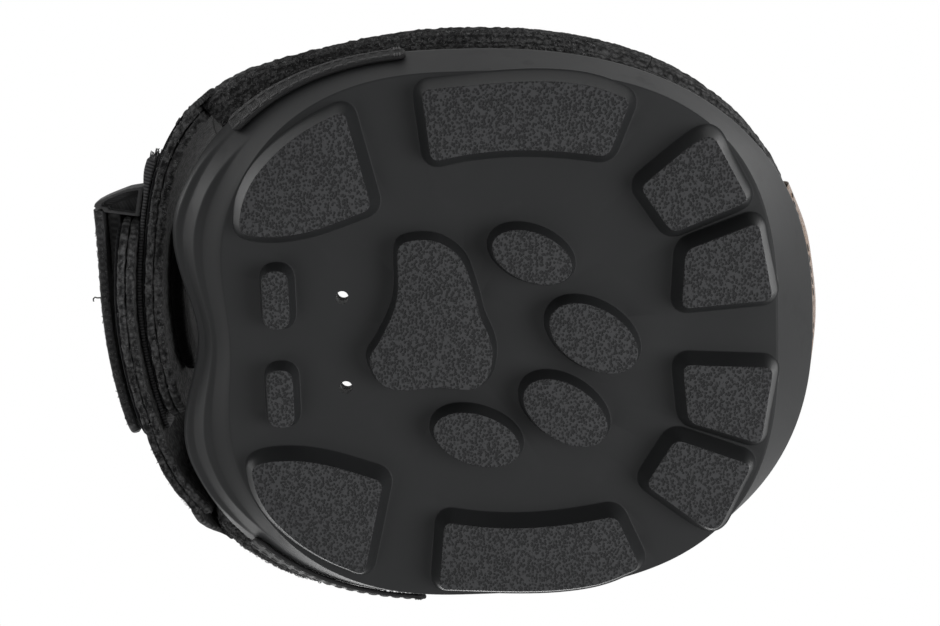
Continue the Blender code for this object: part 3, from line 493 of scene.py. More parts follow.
LEATHERS = {
    "brown_leather": Leather((0.105, 0.062, 0.036), (0.235, 0.150, 0.092), 0.55),
    "black_leather": Leather((0.0045, 0.0045, 0.0048), (0.0095, 0.0095, 0.0100), 0.62),
}


def rubber_material():
    """Satin moulded rubber: pebbled, with painted light and shade, on the faces that touch the ground; smooth
    elsewhere, with faint random marks and blotches of painted sheen.
    """
    material, graph, shader = new_material("rubber")
    place = object_place(graph)
    ground = graph.ramp(graph.parts_of(place)[2], *GROUND_FACE_HEIGHTS, 1.0, 0.0)
    spots = graph.cells(place, 1450.0)
    veins = graph.noise(graph.shifted(place, (0.3, 0.7, 0.1)), 1500.0, 3.0, 0.60)
    pebble = graph.ramp(spots + (veins - 0.5) * 0.9, 0.20, 0.66)
    dust = graph.noise(graph.shifted(place, (0.9, 0.1, 0.4)), 5200.0, 2.0, 0.6)
    mottle = graph.noise(place, 38.0, 5.0, 0.6)
    # Painted sheen: lighter blotches at random on the smooth rubber, where the roughness also rises
    sheen_blotch = graph.ramp(graph.noise(graph.shifted(place, (0.4, 0.2, 0.0)), 90.0, 6.0, 0.7), 0.54, 0.76)
    plain = graph.mix(mottle, *RUBBER_TONES)
    sheen_blotched = graph.mix(sheen_blotch * 0.28, plain, SHEEN_BLOTCH_TONE)
    # Painted shade in the pebbles' pits and painted light on their tops, with fine random specks
    pebble_light_and_shade = graph.mix(pebble * 0.82 + dust * 0.18, *PEBBLE_TONES)
    soft = graph.bump(graph.noise(place, 900.0, 3.0, 0.5), 0.00003, 0.5)
    normal = graph.bump(pebble * ground, 0.00030, 1.0, soft)
    roughness = graph.ramp(ground, 0.0, 1.0, 0.56, 0.70) + (mottle - 0.5) * 0.12 + sheen_blotch * 0.10
    paint(graph, shader, graph.mix(ground, sheen_blotched, pebble_light_and_shade), roughness, normal, 0.16)
    return material


def foam_material():
    material, graph, shader = new_material("foam")
    place = object_place(graph)
    pores = graph.ramp(graph.cells(place, 1500.0), 0.15, 0.75)
    colour = graph.mix(pores, (0.016, 0.016, 0.017), (0.036, 0.036, 0.038))
    paint(graph, shader, colour, 0.88 - pores * 0.08, graph.bump(pores, 0.00018))
    return material


def knit_material(name, look):
    """Cloth of uneven small loops, painted darker between the loops and lighter on their tops, with specks of
    painted highlight on the tops.
    """
    material, graph, shader = new_material(name)
    place = object_place(graph)
    wander = graph.noise(place, 300.0, 2.0)
    rows = graph.math("SINE", graph.parts_of(place)[2] * (look.scale * math.tau) + wander * 5.0)
    clumps = graph.cells(place, look.scale * 1.15)
    loops = graph.noise(place, look.scale * 1.7, 2.0, 0.5)
    strands = graph.noise(place, 3600.0, 4.0, 0.7)
    relief = rows * 0.10 + (1.0 - clumps) * 0.45 + loops * 0.55 + strands * 0.50
    body = graph.noise(place, 60.0, 4.0, 0.6)
    # Painted light and shade: the tone follows the loops' relief, darker between them and lighter on their
    # tops, with some random tone
    tone = graph.ramp(relief + (body - 0.5) * 0.5, 0.55, 1.15)
    # Painted highlight: pale specks on the loops' tops
    speck = graph.ramp(graph.noise(graph.shifted(place, (3.0, 1.0, 0.0)), 3000.0, 2.0, 0.6), 0.58, 0.76)
    fuzz = speck * tone * look.fuzz
    colour = graph.mix(fuzz, graph.mix(tone, look.dark, look.light), paler(look.light, 2.8))
    paint(graph, shader, colour, 0.97 - tone * 0.07, graph.bump(relief, look.depth), 0.10)
    shader.inputs["Sheen Weight"].default_value = 0.06
    shader.inputs["Sheen Roughness"].default_value = 0.6
    return material


def weave_material(name, look):
    """Flat woven tape: threads over and under, with ribs along it where it is webbing."""
    material, graph, shader = new_material(name)
    place = cloth_place(graph)
    along, across, _ = graph.parts_of(graph.scaled(place, (look.along_count, look.across_count, 0.0)))
    warp = graph.math("SINE", along * math.tau)
    weft = graph.math("SINE", across * math.tau)
    fibres = graph.noise(graph.scaled(place, (1.0, 3.0, 1.0)), 2600.0, 4.0, 0.7)
    relief = warp * weft * (0.34 - look.ribbed * 0.2) + weft * look.ribbed * 0.5 + fibres * 0.45
    tone = graph.ramp(relief, -0.35, 0.75)
    worn = graph.ramp(graph.noise(place, 140.0, 5.0, 0.65), 0.45, 0.75)
    colour = graph.mix(worn * 0.30, graph.mix(tone, look.dark, look.light), paler(look.light, 1.9))
    paint(graph, shader, colour, 0.86 - tone * 0.14, graph.bump(relief, look.depth), 0.25)
    return material


def leather_material(name, look):
    """Grained leather with fine creases and uneven wear."""
    material, graph, shader = new_material(name)
    place = object_place(graph)
    grain = graph.ramp(graph.cells(place, 1350.0, "DISTANCE_TO_EDGE"), 0.0, 0.22)
    crease = graph.noise(graph.scaled(place, (1.0, 1.0, 3.0)), 240.0, 6.0, 0.65)
    wear = graph.ramp(graph.noise(place, 55.0, 5.0, 0.6), 0.35, 0.75)
    colour = graph.mix(wear * 0.75 + grain * 0.2, look.dark, look.light)
    roughness = look.roughness + wear * 0.14 - grain * 0.05
    paint(graph, shader, colour, roughness, graph.bump(grain * 0.6 + crease * 0.5, 0.00012), 0.2)
    return material


def thread_material():
    material, graph, shader = new_material("thread")
    twist = graph.noise(object_place(graph), 3800.0, 2.0, 0.6)
    colour = graph.mix(twist, (0.012, 0.012, 0.0125), (0.060, 0.060, 0.060))
    paint(graph, shader, colour, 0.62 + twist * 0.2, graph.bump(twist, 0.00006))
    return material


def yarn_material():
    """Black yarn, each loop a little paler or darker than the next; the paler loops are painted highlights on
    the fuzz.
    """
    material, graph, shader = new_material("yarn")
    place = object_place(graph)
    tone = graph.ramp(graph.noise(place, 700.0, 3.0, 0.7), 0.42, 0.68)
    strands = graph.noise(place, 5200.0, 2.0, 0.6)
    # Painted highlight: the paler loops stand for light caught by the fuzz
    colour = graph.mix(tone, (0.012, 0.012, 0.013), (0.190, 0.190, 0.192))
    paint(graph, shader, colour, 0.86 + strands * 0.1, graph.bump(strands, 0.00004), 0.12)
    return material


MATERIALS = {}


def make_materials():
    MATERIALS.update(rubber=rubber_material(), foam=foam_material())
    MATERIALS.update(thread=thread_material(), yarn=yarn_material())
    for maker, looks in ((knit_material, KNITS), (weave_material, WEAVES), (leather_material, LEATHERS)):
        for name, look in looks.items():
            MATERIALS[name] = maker(name, look)


def placed(name, mesh):
    """A new object in the scene, with its place in its mesh."""
    obj = bpy.data.objects.new(name, mesh)
    bpy.context.scene.collection.objects.link(obj)
    return obj


def baked(obj, *helpers):
    """The object's mesh with its modifiers applied, after which the object and its helpers are removed."""
    made = bpy.data.meshes.new_from_object(obj.evaluated_get(bpy.context.evaluated_depsgraph_get()))
    for used in (obj, *helpers):
        bpy.data.objects.remove(used, do_unlink=True)
    return made


def mesh_of(bm, name):
    mesh = bpy.data.meshes.new(name)
    bm.to_mesh(mesh)
    bm.free()
    return mesh


def finish_piece(name, mesh, body, slot, nodes=(), material=None):
    """Gives a mesh its object, material and body, and hides the solids that it stands for."""
    mesh.materials.clear()
    mesh.materials.append(MATERIALS[material or slot])
    obj = placed(name, mesh)
    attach(obj, body)
    if nodes:
        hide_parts(*nodes)


def spread(start, stop, step, fine=()):
    """Even steps between two values, with extra ones at both ends."""
    count = max(2, round((stop - start) / step))
    values = {round(lerp(start, stop, index / count), 7) for index in range(count + 1)}
    for distance in fine:
        values.add(round(start + distance, 7))
        values.add(round(stop - distance, 7))
    return sorted(values)


def corner_inset(distance, corner):
    if distance >= corner:
        return 0.0
    return corner - math.sqrt(max(0.0, corner**2 - (corner - distance) ** 2))


Slab = namedtuple("Slab", "face start stop low high corner offset thickness")
NOMINAL_RADIUS = 0.085
EDGE_SHARES = (0.08, 0.3, 0.65, 1.0)

# Which of a layer's two ends are rounded: a sewn end is cut flat
SEWN_BOTH = (False, False)
SEWN_START = (False, True)
SEWN_STOP = (True, False)


def even(value):
    """A height that is the same at every angle."""
    return lambda angle: value


def flat(*place):
    """No relief and no shift, wherever it is."""
    return 0.0


def slab_columns(slab, angles, rows, bm, relief, shift, rounded):
    """The outer and the inner grid of a layer, which meet along its rounded border."""
    edge = slab.thickness / 2
    middle = (slab.start + slab.stop) / 2
    span = slab.high(middle) - slab.low(middle)
    outer, inner, flats = [], [], {}
    for angle in angles:
        ends = [math.radians(abs(angle - end)) * NOMINAL_RADIUS for end in (slab.start, slab.stop)]
        free_ends = [end for end, is_rounded in zip(ends, rounded) if is_rounded]
        inset = max((corner_inset(end, slab.corner) for end in free_ends), default=0.0)
        foot, top = slab.low(angle) + inset, slab.high(angle) - inset
        centre = slab.offset + edge + shift(angle)
        columns = ([], [])
        for row in rows:
            height = lerp(foot, top, row / span)
            border = min(row, span - row, *free_ends)
            fullness = math.sqrt(max(0.0, 1 - (1 - min(1.0, border / edge)) ** 2))
            offsets = (centre + edge * fullness + relief(angle, height) * fullness, centre - edge * fullness)
            vertex = None
            for column, offset in zip(columns, offsets):
                if fullness > 0.0 or vertex is None:
                    vertex = bm.verts.new(slab.face.point(angle, height, offset))
                    flats[vertex] = (math.radians(angle) * NOMINAL_RADIUS, height)
                column.append(vertex)
        outer.append(columns[0])
        inner.append(columns[1])
    return outer, inner, flats


def slab_mesh(name, slab, steps, relief=flat, shift=flat, rounded=(True, True)):
    """A closed layer of cloth on a curved face, with its length and height in metres as its UV map.

    The steps are the degrees between its columns and the metres between its rows. The relief stands on its
    outer side, the shift moves the whole layer outwards, and the ends that aren't rounded are cut flat.
    """
    edge = slab.thickness / 2
    fine_turns = [math.degrees(edge * share / NOMINAL_RADIUS) for share in EDGE_SHARES]
    angles = spread(slab.start, slab.stop, steps[0], fine_turns)
    middle = (slab.start + slab.stop) / 2
    span = slab.high(middle) - slab.low(middle)
    rows = spread(0.0, span, steps[1], [edge * share for share in EDGE_SHARES])
    bm = bmesh.new()
    uv_layer = bm.loops.layers.uv.new("cloth")
    outer, inner, flats = slab_columns(slab, angles, rows, bm, relief, shift, rounded)
    sheets = [(outer, False), (inner, True)]
    cut_ends = [end for end, is_rounded in zip((0, -1), rounded) if not is_rounded]
    sheets += [([outer[end], inner[end]], end == 0) for end in cut_ends]
    for columns, flipped in sheets:
        for left, right in zip(columns, columns[1:]):
            for corners in zip(left, right, right[1:], left[1:]):
                corners = list(dict.fromkeys(corners))
                face = bm.faces.new(reversed(corners) if flipped else corners)
                for loop in face.loops:
                    loop[uv_layer].uv = flats[loop.vert]
    bmesh.ops.recalc_face_normals(bm, faces=bm.faces)
    mesh = mesh_of(bm, name)
    mesh.shade_smooth()
    return mesh


def lay(name, slab, steps, body, slot, nodes=(), fill=None, **shape):
    """A layer of cloth as a finished piece."""
    finish_piece(name, slab_mesh(name, slab, steps, **shape), body, slot, nodes)


def loop_relief(angle, height, depth=0.00035):
    """Coarse uneven loops that stand out of the cloth."""
    along = math.radians(angle) * NOMINAL_RADIUS
    large = noise.noise(Vector((along * 430, height * 430, 2.0)))
    small = noise.noise(Vector((along * 900, height * 900, 9.0)))
    return depth * (0.9 * large + 0.8 * small)


def roll_relief(height, start, pitch, count, depth):
    """Rounded rolls one above the other, as a bound and folded edge has."""
    share = (height - start) / pitch
    if not 0 < share < count:
        return 0.0
    return depth * math.sqrt(max(0.0, math.sin(math.pi * (share % 1.0)))) - depth * 0.4


def mesh_from_rings(name, rings):
    """A closed body through rings of equal count, capped at the first and the last."""
    bm = bmesh.new()
    loops = [[bm.verts.new(point) for point in points] for points in rings]
    for low, high in zip(loops, loops[1:]):
        for corners in zip(low, low[1:] + low[:1], high[1:] + high[:1], high):
            bm.faces.new(corners)
    bm.faces.new(loops[0])
    bm.faces.new(reversed(loops[-1]))
    bmesh.ops.recalc_face_normals(bm, faces=bm.faces)
    return mesh_of(bm, name)


def rounded_path(corners, radius, steps, closed, gentle=0.0):
    """Cuts a path's corners with short curves, and runs its bends together under a gentle angle."""
    if closed:
        triples = list(zip(corners[-1:] + corners[:-1], corners, corners[1:] + corners[:1]))
        path = []
    else:
        triples = list(zip(corners, corners[1:], corners[2:]))
        path = [corners[0]]
    for before, corner, after in triples:
        reach_in, reach_out = (before - corner).length * BEND_SHARE, (after - corner).length * BEND_SHARE
        if (corner - before).angle(after - corner) > math.radians(gentle):
            reach_in, reach_out = min(radius, reach_in), min(radius, reach_out)
        start = corner + (before - corner).normalized() * reach_in
        stop = corner + (after - corner).normalized() * reach_out
        for step in range(steps + 1):
            share = step / steps
            path.append(lerp(lerp(start, corner, share), lerp(corner, stop, share), share))
    return path if closed else path + [corners[-1]]


def cup_profile(radius):
    """The cup's section: flare in nominal metres, inset from the outline and height."""
    flare_length = 0.008
    corners = [Vector((0.0, 0.0100, LUG_HEIGHT))]
    for flare, rise in CUP_PROFILE_SHARES:
        corners.append(Vector((flare * flare_length, 0.0, lerp(LUG_HEIGHT, CUP_HEIGHT, rise))))
    floor_share = (FLOOR_HEIGHT - LUG_HEIGHT) / (CUP_HEIGHT - LUG_HEIGHT)
    corners.append(Vector((flare_length, CUP_WALL, CUP_HEIGHT)))
    corners.append(Vector((floor_share * flare_length, CUP_WALL, FLOOR_HEIGHT)))
    corners.append(Vector((floor_share * flare_length, CUP_WALL + 0.0100, FLOOR_HEIGHT)))
    path = rounded_path(corners, radius, 5, closed=False)
    return [(point.x / flare_length, point.y, point.z) for point in path]


def cup_mesh(radius):
    """The cup without its lugs, with rings all over its floor and its base."""
    profile = cup_profile(radius)
    rings = []
    for flare, inset, height in profile:
        points = []
        for index in range(360):
            share = cup_flare(index, height, flare) if inset < 1e-6 and flare < 1 else flare
            reach = lerp(plan_radius(BASE_OUTLINE, index), plan_radius(RIM_OUTLINE, index), share) - inset
            points.append(plan_point(BASE_OUTLINE.centre, reach, index, height))
        rings.append(points)
    shares = (0.02, 0.2, 0.4, 0.6, 0.8)
    centres = [plan_point(BASE_OUTLINE.centre, 0.0, 0, ring[0].z) for ring in (rings[0], rings[-1])]
    base = [[lerp(centres[0], point, share) for point in rings[0]] for share in shares]
    floor = [[lerp(centres[1], point, share) for point in rings[-1]] for share in reversed(shares)]
    return mesh_from_rings("cup", base + rings + floor)


def tread_point(forward_share, cross_share, side=1):
    forward = forward_share * (RIM_OUTLINE.front - RIM_OUTLINE.centre)
    return Vector((side * cross_share * RIM_OUTLINE.half_width, SHIFT - forward))


def oval_outline(oval):
    turn = Matrix.Rotation(math.radians(oval.turn - 90), 2)
    centre = tread_point(oval.forward_share, oval.cross_share)
    halves = (oval.half_length_share * RIM_OUTLINE.half_width, oval.half_width_share * RIM_OUTLINE.half_width)
    angles = [math.tau * index / 72 for index in range(72)]
    return [centre + turn @ Vector((math.cos(a) * halves[0], math.sin(a) * halves[1])) for a in angles]


def heel_bar_outline(side):
    centre = tread_point(*HEEL_BAR_CENTRE_SHARES, side)
    half = Vector((HEEL_BAR_LENGTH / 2, HEEL_BAR_WIDTH / 2))
    signs = ((1, 1), (-1, 1), (-1, -1), (1, -1))
    corners = [centre + Vector((across * half.x, along * half.y)) for across, along in signs]
    return rounded_path(corners, half.y, 10, closed=True)


def tread_outlines():
    """Each lug's ground face outline and its draft."""
    outlines = []
    for side in (1, -1):
        for shares in (SIDE_LUG_SHARES, HEEL_LUG_SHARES, FRONT_LUG_SHARES, CORNER_LUG_SHARES):
            corners = [tread_point(forward, cross, side) for forward, cross in shares]
            outlines.append((rounded_path(corners, CORNER_RADIUS, 9, True, GENTLE_BEND), TREAD_DRAFT))
        outlines.append((heel_bar_outline(side), PAD_DRAFT))
    centre_pad = [tread_point(forward, cross) for forward, cross in CENTRE_PAD_SHARES]
    outlines.append((rounded_path(centre_pad, CORNER_RADIUS, 5, True, GENTLE_BEND), PAD_DRAFT))
    return outlines + [(oval_outline(oval), PAD_DRAFT) for oval in OVAL_PADS]


def evened(points, step):
    """The same closed outline with its points at even distances."""
    lengths = [(b - a).length for a, b in zip(points, points[1:] + points[:1])]
    total = sum(lengths)
    count = round(total / step)
    result, index, passed = [], 0, 0.0
    for number in range(count):
        target = total * number / count
        while passed + lengths[index] < target:
            passed += lengths[index]
            index += 1
        share = (target - passed) / max(lengths[index], 1e-9)
        result.append(lerp(points[index], points[(index + 1) % len(points)], share))
    return result


def grown_outline(points, distance):
    """Moves an outline outwards by a distance."""
    area = sum(a.x * b.y - b.x * a.y for a, b in zip(points, points[1:] + points[:1]))
    way = 1 if area > 0 else -1
    grown = []
    for before, point, after in zip(points[-1:] + points[:-1], points, points[1:] + points[:1]):
        along = (after - before).normalized()
        grown.append(point + Vector((along.y, -along.x)) * distance * way)
    return grown


def lug_levels(draft, edge, foot):
    """Growth and height of a lug's rings: round ground edge, drafted wall, and a fillet at the foot."""
    turns = [math.pi / 2 * share for share in (0.0, 0.25, 0.5, 0.75, 1.0)]
    levels = [(-edge * (1 - math.sin(turn)), edge * (1 - math.cos(turn))) for turn in turns]
    for turn in turns:
        height = LUG_HEIGHT - foot * (1 - math.sin(turn))
        wall = draft * (height - edge) / (LUG_HEIGHT - edge)
        levels.append((wall + foot * (1 - math.cos(turn)), height))
    levels.append((draft + foot, LUG_HEIGHT + 0.0006))
    return levels


def tread_mesh(edge, foot):
    lugs = []
    for outline, draft in tread_outlines():
        points = evened(outline, TREAD_STEP)
        levels = lug_levels(draft, edge, foot)
        rings = [[(*point, height) for point in grown_outline(points, growth)] for growth, height in levels]
        lugs.append(mesh_from_rings("lug", rings))
    return joined(lugs)


def drain_mesh():
    bm = bmesh.new()
    sizes = {"radius1": DRAIN_DIAMETER / 2, "radius2": DRAIN_DIAMETER / 2, "depth": DRAIN_DEPTH}
    for side in (1, -1):
        matrix = Matrix.Translation((*tread_point(*DRAIN_CENTRE_SHARES, side), DRAIN_DEPTH / 2))
        bmesh.ops.create_cone(bm, cap_ends=True, segments=40, matrix=matrix, **sizes)
    return mesh_of(bm, "drains")


def carved(name, mesh, cuts):
    """The mesh after joining or cutting with other meshes."""
    obj = placed(name, mesh)
    helpers = []
    for cutter, operation in cuts:
        helper = placed("helper", cutter)
        boolean = obj.modifiers.new("Join", "BOOLEAN")
        boolean.operation = operation
        boolean.object = helper
        boolean.solver = "MANIFOLD"
        helpers.append(helper)
    made = baked(obj, *helpers)
    made.name = name
    made.shade_smooth()
    made.set_sharp_from_angle(angle=math.radians(38))
    return made


def make_outsole(settings):
    cuts = [(tread_mesh(settings.lug_edge, settings.lug_foot), "UNION"), (drain_mesh(), "DIFFERENCE")]
    mesh = carved("hoof_boot_outsole", cup_mesh(settings.cup_edge), cuts)
    finish_piece("hoof_boot_outsole", mesh, "boot", "rubber", ["outsole"])


def make_insole(settings):
    edge = settings.foam_edge
    low = FLOOR_HEIGHT + FIT_GAP
    high = low + INSOLE_THICKNESS
    levels = (
        (edge, low), (0.0, low + edge), (0.0, high - edge), (edge * 0.3, high - edge * 0.3), (edge, high)
    )
    centre = BASE_OUTLINE.centre
    rings = []
    for inset, height in levels:
        reach = [cup_inner_radius(index, FLOOR_HEIGHT) - INSOLE_GAP - inset for index in range(360)]
        rings.append([plan_point(centre, radius, index, height) for index, radius in enumerate(reach)])
    mesh = carved("foam_insole", mesh_from_rings("foam_insole", rings), [(drain_mesh(), "DIFFERENCE")])
    finish_piece("foam_insole", mesh, "boot", "foam", ["insole"])


def textile_relief(angle, height):
    """Rolls and loops where the cloth is free, and nearly flat where other pieces lie on it."""
    turn = abs((angle + 180) % 360 - 180)
    seam = smoothstep(45.8, 46.4, turn) * smoothstep(58.2, 57.6, turn)
    guard = smoothstep(22.5, 21.5, turn)
    covered = max(
        seam * smoothstep(0.0445, 0.0460, height) * smoothstep(0.0765, 0.0750, height),
        guard * smoothstep(0.0300, 0.0308, height) * smoothstep(0.0655, 0.0645, height),
        smoothstep(144.6, 145.4, turn) if angle > 0 else 0.0,
        smoothstep(collar_edge(angle) - 0.0122, collar_edge(angle) - 0.0110, height),
    )
    rolls = roll_relief(height, 0.0276, 0.0046, 3, 0.0008)
    wave = 1 + 0.35 * noise.noise(Vector((angle * 0.16, height * 90, 4.0)))
    return smoothstep(0.0268, 0.0290, height) * (1 - covered) * (rolls * wave + loop_relief(angle, height))


def make_upper(settings):
    """Shell and lining panels of the upper."""
    fine = (settings.turn_step, settings.height_step)
    before, after = SEAM_ANGLE - SEAM_HALF_GAP, SEAM_ANGLE + SEAM_HALF_GAP
    panels = (
        ("front", "front_panel", -before, before), ("left", "left_quarter", after, LEFT_QUARTER_END),
        ("right", "right_quarter", -RIGHT_QUARTER_END, -after),
    )
    for side, node, *ends in panels:
        shell = Slab(UPPER, *ends, even(UPPER_FOOT), collar_edge, 0.0, -SHELL_THICKNESS, SHELL_THICKNESS)
        shape = {"relief": textile_relief, "rounded": SEWN_BOTH}
        lay(f"{side}_textile", shell, fine, "boot", "textile", [node], **shape)
        lining = shell._replace(offset=LINING_OFFSET, thickness=LINING_THICKNESS)
        nodes = [f"{side}_lining"]
        lay(f"{side}_padded_lining", lining, (1.0, 0.0016), "boot", "lining", nodes, 0.8, rounded=SEWN_BOTH)


def guard_swell(angle, height=0.0):
    """The toe guard stands out at the toe, and is skived thin towards its two ends, at any height."""
    end = min(angle - GUARD_ENDS[0], GUARD_ENDS[1] - angle)
    return 0.0005 * (1 - smoothstep(0.0, 9.0, abs(angle))) - 0.0008 * (1 - smoothstep(1.0, 10.0, end))


def collar_below(drop):
    """The height this far under the collar's edge, for each angle."""
    return lambda angle: collar_edge(angle) - drop


def make_trim():
    """Seam tapes, collar tape, toe guard and rim tabs."""
    half = math.degrees(SEAM_TAPE_HALF_WIDTH / STATIONS[0][1].half_width)
    for side, angle in (("left", SEAM_ANGLE), ("right", -SEAM_ANGLE)):
        low, high = map(even, SEAM_TAPE_HEIGHTS)
        tape = Slab(UPPER, angle - half, angle + half, low, high, 0.0, FIT_GAP, TAPE_THICKNESS)
        lay(f"{side}_seam_binding", tape, (0.8, 0.0012), "boot", "tape", [f"{side}_seam_tape"])
    low, high = map(collar_below, COLLAR_TAPE_DROPS)
    tape = Slab(UPPER, -COLLAR_END, COLLAR_END, low, high, 0.0, FIT_GAP, TAPE_THICKNESS)
    lay("collar_binding", tape, (1.0, 0.0010), "boot", "tape", ["collar_tape"])
    guard = Slab(UPPER, *GUARD_ENDS, *map(even, GUARD_HEIGHTS), 0.0030, SEAT_GAP, GUARD_THICKNESS)
    lay("toe_leather", guard, (0.7, 0.0009), "boot", "brown_leather", ["toe_guard"], relief=guard_swell)
    for side, start in RIM_TAB_STARTS.items():
        ends = (start, start + RIM_TAB_TURN)
        tab = Slab(WALL, *ends, *map(even, RIM_TAB_HEIGHTS), 0.0024, FIT_GAP, RIM_TAB_THICKNESS)
        lay(f"{side}_stitched_tab", tab, (0.6, 0.0006), "boot", "black_leather", [f"{side}_rim_tab"])


def collar_point(angle):
    """Centre of the collar roll, straight on from the wall's top edge."""
    wall_middle = -(SHELL_THICKNESS + FIT_GAP + LINING_THICKNESS) / 2
    edge = UPPER.point(angle, collar_edge(angle), wall_middle)
    below = UPPER.point(angle, collar_edge(angle) - 0.0020, wall_middle)
    return edge + (edge - below).normalized() * (COLLAR_RADIUS + FIT_GAP)


def make_collar(settings):
    """The padded roll round the top, drawn in where it is sewn through."""
    rings = []
    angles = [lerp(-COLLAR_END, COLLAR_END, index / 248) for index in range(249)]
    turns = [math.tau * side / 36 for side in range(36)]
    for index, angle in enumerate(angles):
        centre = collar_point(angle)
        places = (collar_point(min(angle + 1, COLLAR_END)), collar_point(max(angle - 1, -COLLAR_END)))
        ahead = (places[0] - places[1]).normalized()
        across = ahead.cross(Vector((0, 0, 1))).normalized()
        upward = across.cross(ahead)
        ends = min(index, len(angles) - 1 - index) / 7
        fullness = math.sqrt(max(0.0, 1 - (1 - min(1.0, ends)) ** 2))
        pleat = abs(math.sin(math.radians(angle) * settings.pleats / 2)) ** 0.35
        radius = COLLAR_RADIUS * (0.88 + 0.10 * pleat) * max(fullness, 0.12)
        ring = []
        for turn in turns:
            spot = Vector((angle * 0.25, math.cos(turn) * 1.5, math.sin(turn) * 1.5))
            crease = 1 + 0.02 * noise.noise(spot)
            ring.append(centre + (across * math.cos(turn) + upward * math.sin(turn)) * radius * crease)
        rings.append(ring)
    mesh = mesh_from_rings("collar_roll", rings)
    mesh.shade_smooth()
    finish_piece("collar_roll", puffed(mesh, 0.0011, 0.0004), "boot", "lining", ["collar_pad"])


def puffed(mesh, voxel, cap):
    """The mesh after a short cloth simulation under air pressure, with its movement capped."""
    name = mesh.name
    obj = placed(name, mesh)
    remesh = obj.modifiers.new("Even", "REMESH")
    remesh.mode = "VOXEL"
    remesh.voxel_size = voxel
    even_mesh = baked(obj)
    obj = placed(name, even_mesh)
    cloth = obj.modifiers.new("Air", "CLOTH")
    cloth.settings.use_pressure = True
    cloth.settings.uniform_pressure_force = 4.0
    cloth.settings.effector_weights.gravity = 0.0
    for frame_number in range(1, 21):
        bpy.context.scene.frame_set(frame_number)
    swollen = obj.evaluated_get(bpy.context.evaluated_depsgraph_get()).data
    places = [vertex.co.copy() for vertex in swollen.vertices]
    bpy.context.scene.frame_set(1)
    obj.modifiers.clear()
    for vertex, place in zip(even_mesh.vertices, places):
        move = place - vertex.co
        vertex.co += move * min(1.0, cap / max(move.length, 1e-9))
    obj.modifiers.new("Even", "SUBSURF").levels = 1
    made = baked(obj)
    made.name = name
    made.shade_smooth()
    return made


def flap_relief(angle, height):
    """Loops all over, fading out along the lower edge."""
    edge = smoothstep(FLAP_LOW + 0.0008, FLAP_LOW + 0.0020, height)
    return edge * loop_relief(angle, height, depth=0.00016)


def wavy(seed, shift=flat):
    """A layer's small waves off its even place, on top of its own shift."""
    def offset(angle):
        slow = noise.noise(Vector((angle * 0.5, seed, 0.5)))
        fast = noise.noise(Vector((angle * 1.7, seed, 4.5)))
        return WAVE_HEIGHT * (slow + 0.6 * fast) + shift(angle)

    return offset


def flap_slab(start, stop, offset, thickness, corner=FLAP_CORNER, inset=0.0):
    low, high = even(FLAP_LOW + inset), even(FLAP_LOW + FLAP_HEIGHT - inset)
    return Slab(HEEL, start, stop, low, high, corner, offset, thickness)


def make_inner_flap(settings):
    start, stop = INNER_FLAP_END, INNER_FLAP_ROOT
    fine = (settings.turn_step, settings.height_step)
    layers = (
        ("inner_flap_cloth", "inner_flap_shell", -SHELL_THICKNESS, SHELL_THICKNESS, None, 1.0),
        ("inner_flap_padding", "inner_flap_lining", LINING_OFFSET, LINING_THICKNESS, 0.8, 2.0),
    )
    for name, node, offset, thickness, fill, seed in layers:
        layer = flap_slab(start, stop, offset, thickness)
        shape = {"relief": flap_relief, "shift": wavy(seed), "rounded": SEWN_STOP}
        lay(name, layer, fine, "inner_flap", "textile", [node], fill, **shape)
    pile = flap_slab(start + 1.5, stop, FLAP_LAYERS["loop"], PILE_THICKNESS, 0.0050, 0.0050)
    lay("inner_flap_pile", pile, (0.8, 0.0010), "inner_flap", "loop_pile", ["inner_flap_loop_patch"])
    pad_offset = LINING_OFFSET - FIT_GAP - HEEL_PAD_THICKNESS - HEEL_PAD_ROOM
    pad = flap_slab(*HEEL_PAD_ENDS, pad_offset, HEEL_PAD_THICKNESS, inset=HEEL_PAD_INSET)
    mesh = puffed(slab_mesh("heel_cushion", pad, (1.0, 0.0012)), 0.0014, 0.00045)
    finish_piece("heel_cushion", mesh, "inner_flap", "lining", ["heel_pad"])


def outer_flap_shift(angle):
    rise = min(1.0, max(0.0, (angle - OUTER_FLAP_ROOT) / (HOOK_START - OUTER_FLAP_ROOT)))
    return (FLAP_LAYERS["lining"] - FIT_GAP) * (math.sin(math.pi / 2 * rise) - 1)


def hook_splay(angle, height=0.0):
    """The cut end of the hook tape opens up outwards, at any height."""
    return 0.0014 * smoothstep(HOOK_END - 7.0, HOOK_END - 1.5, angle)


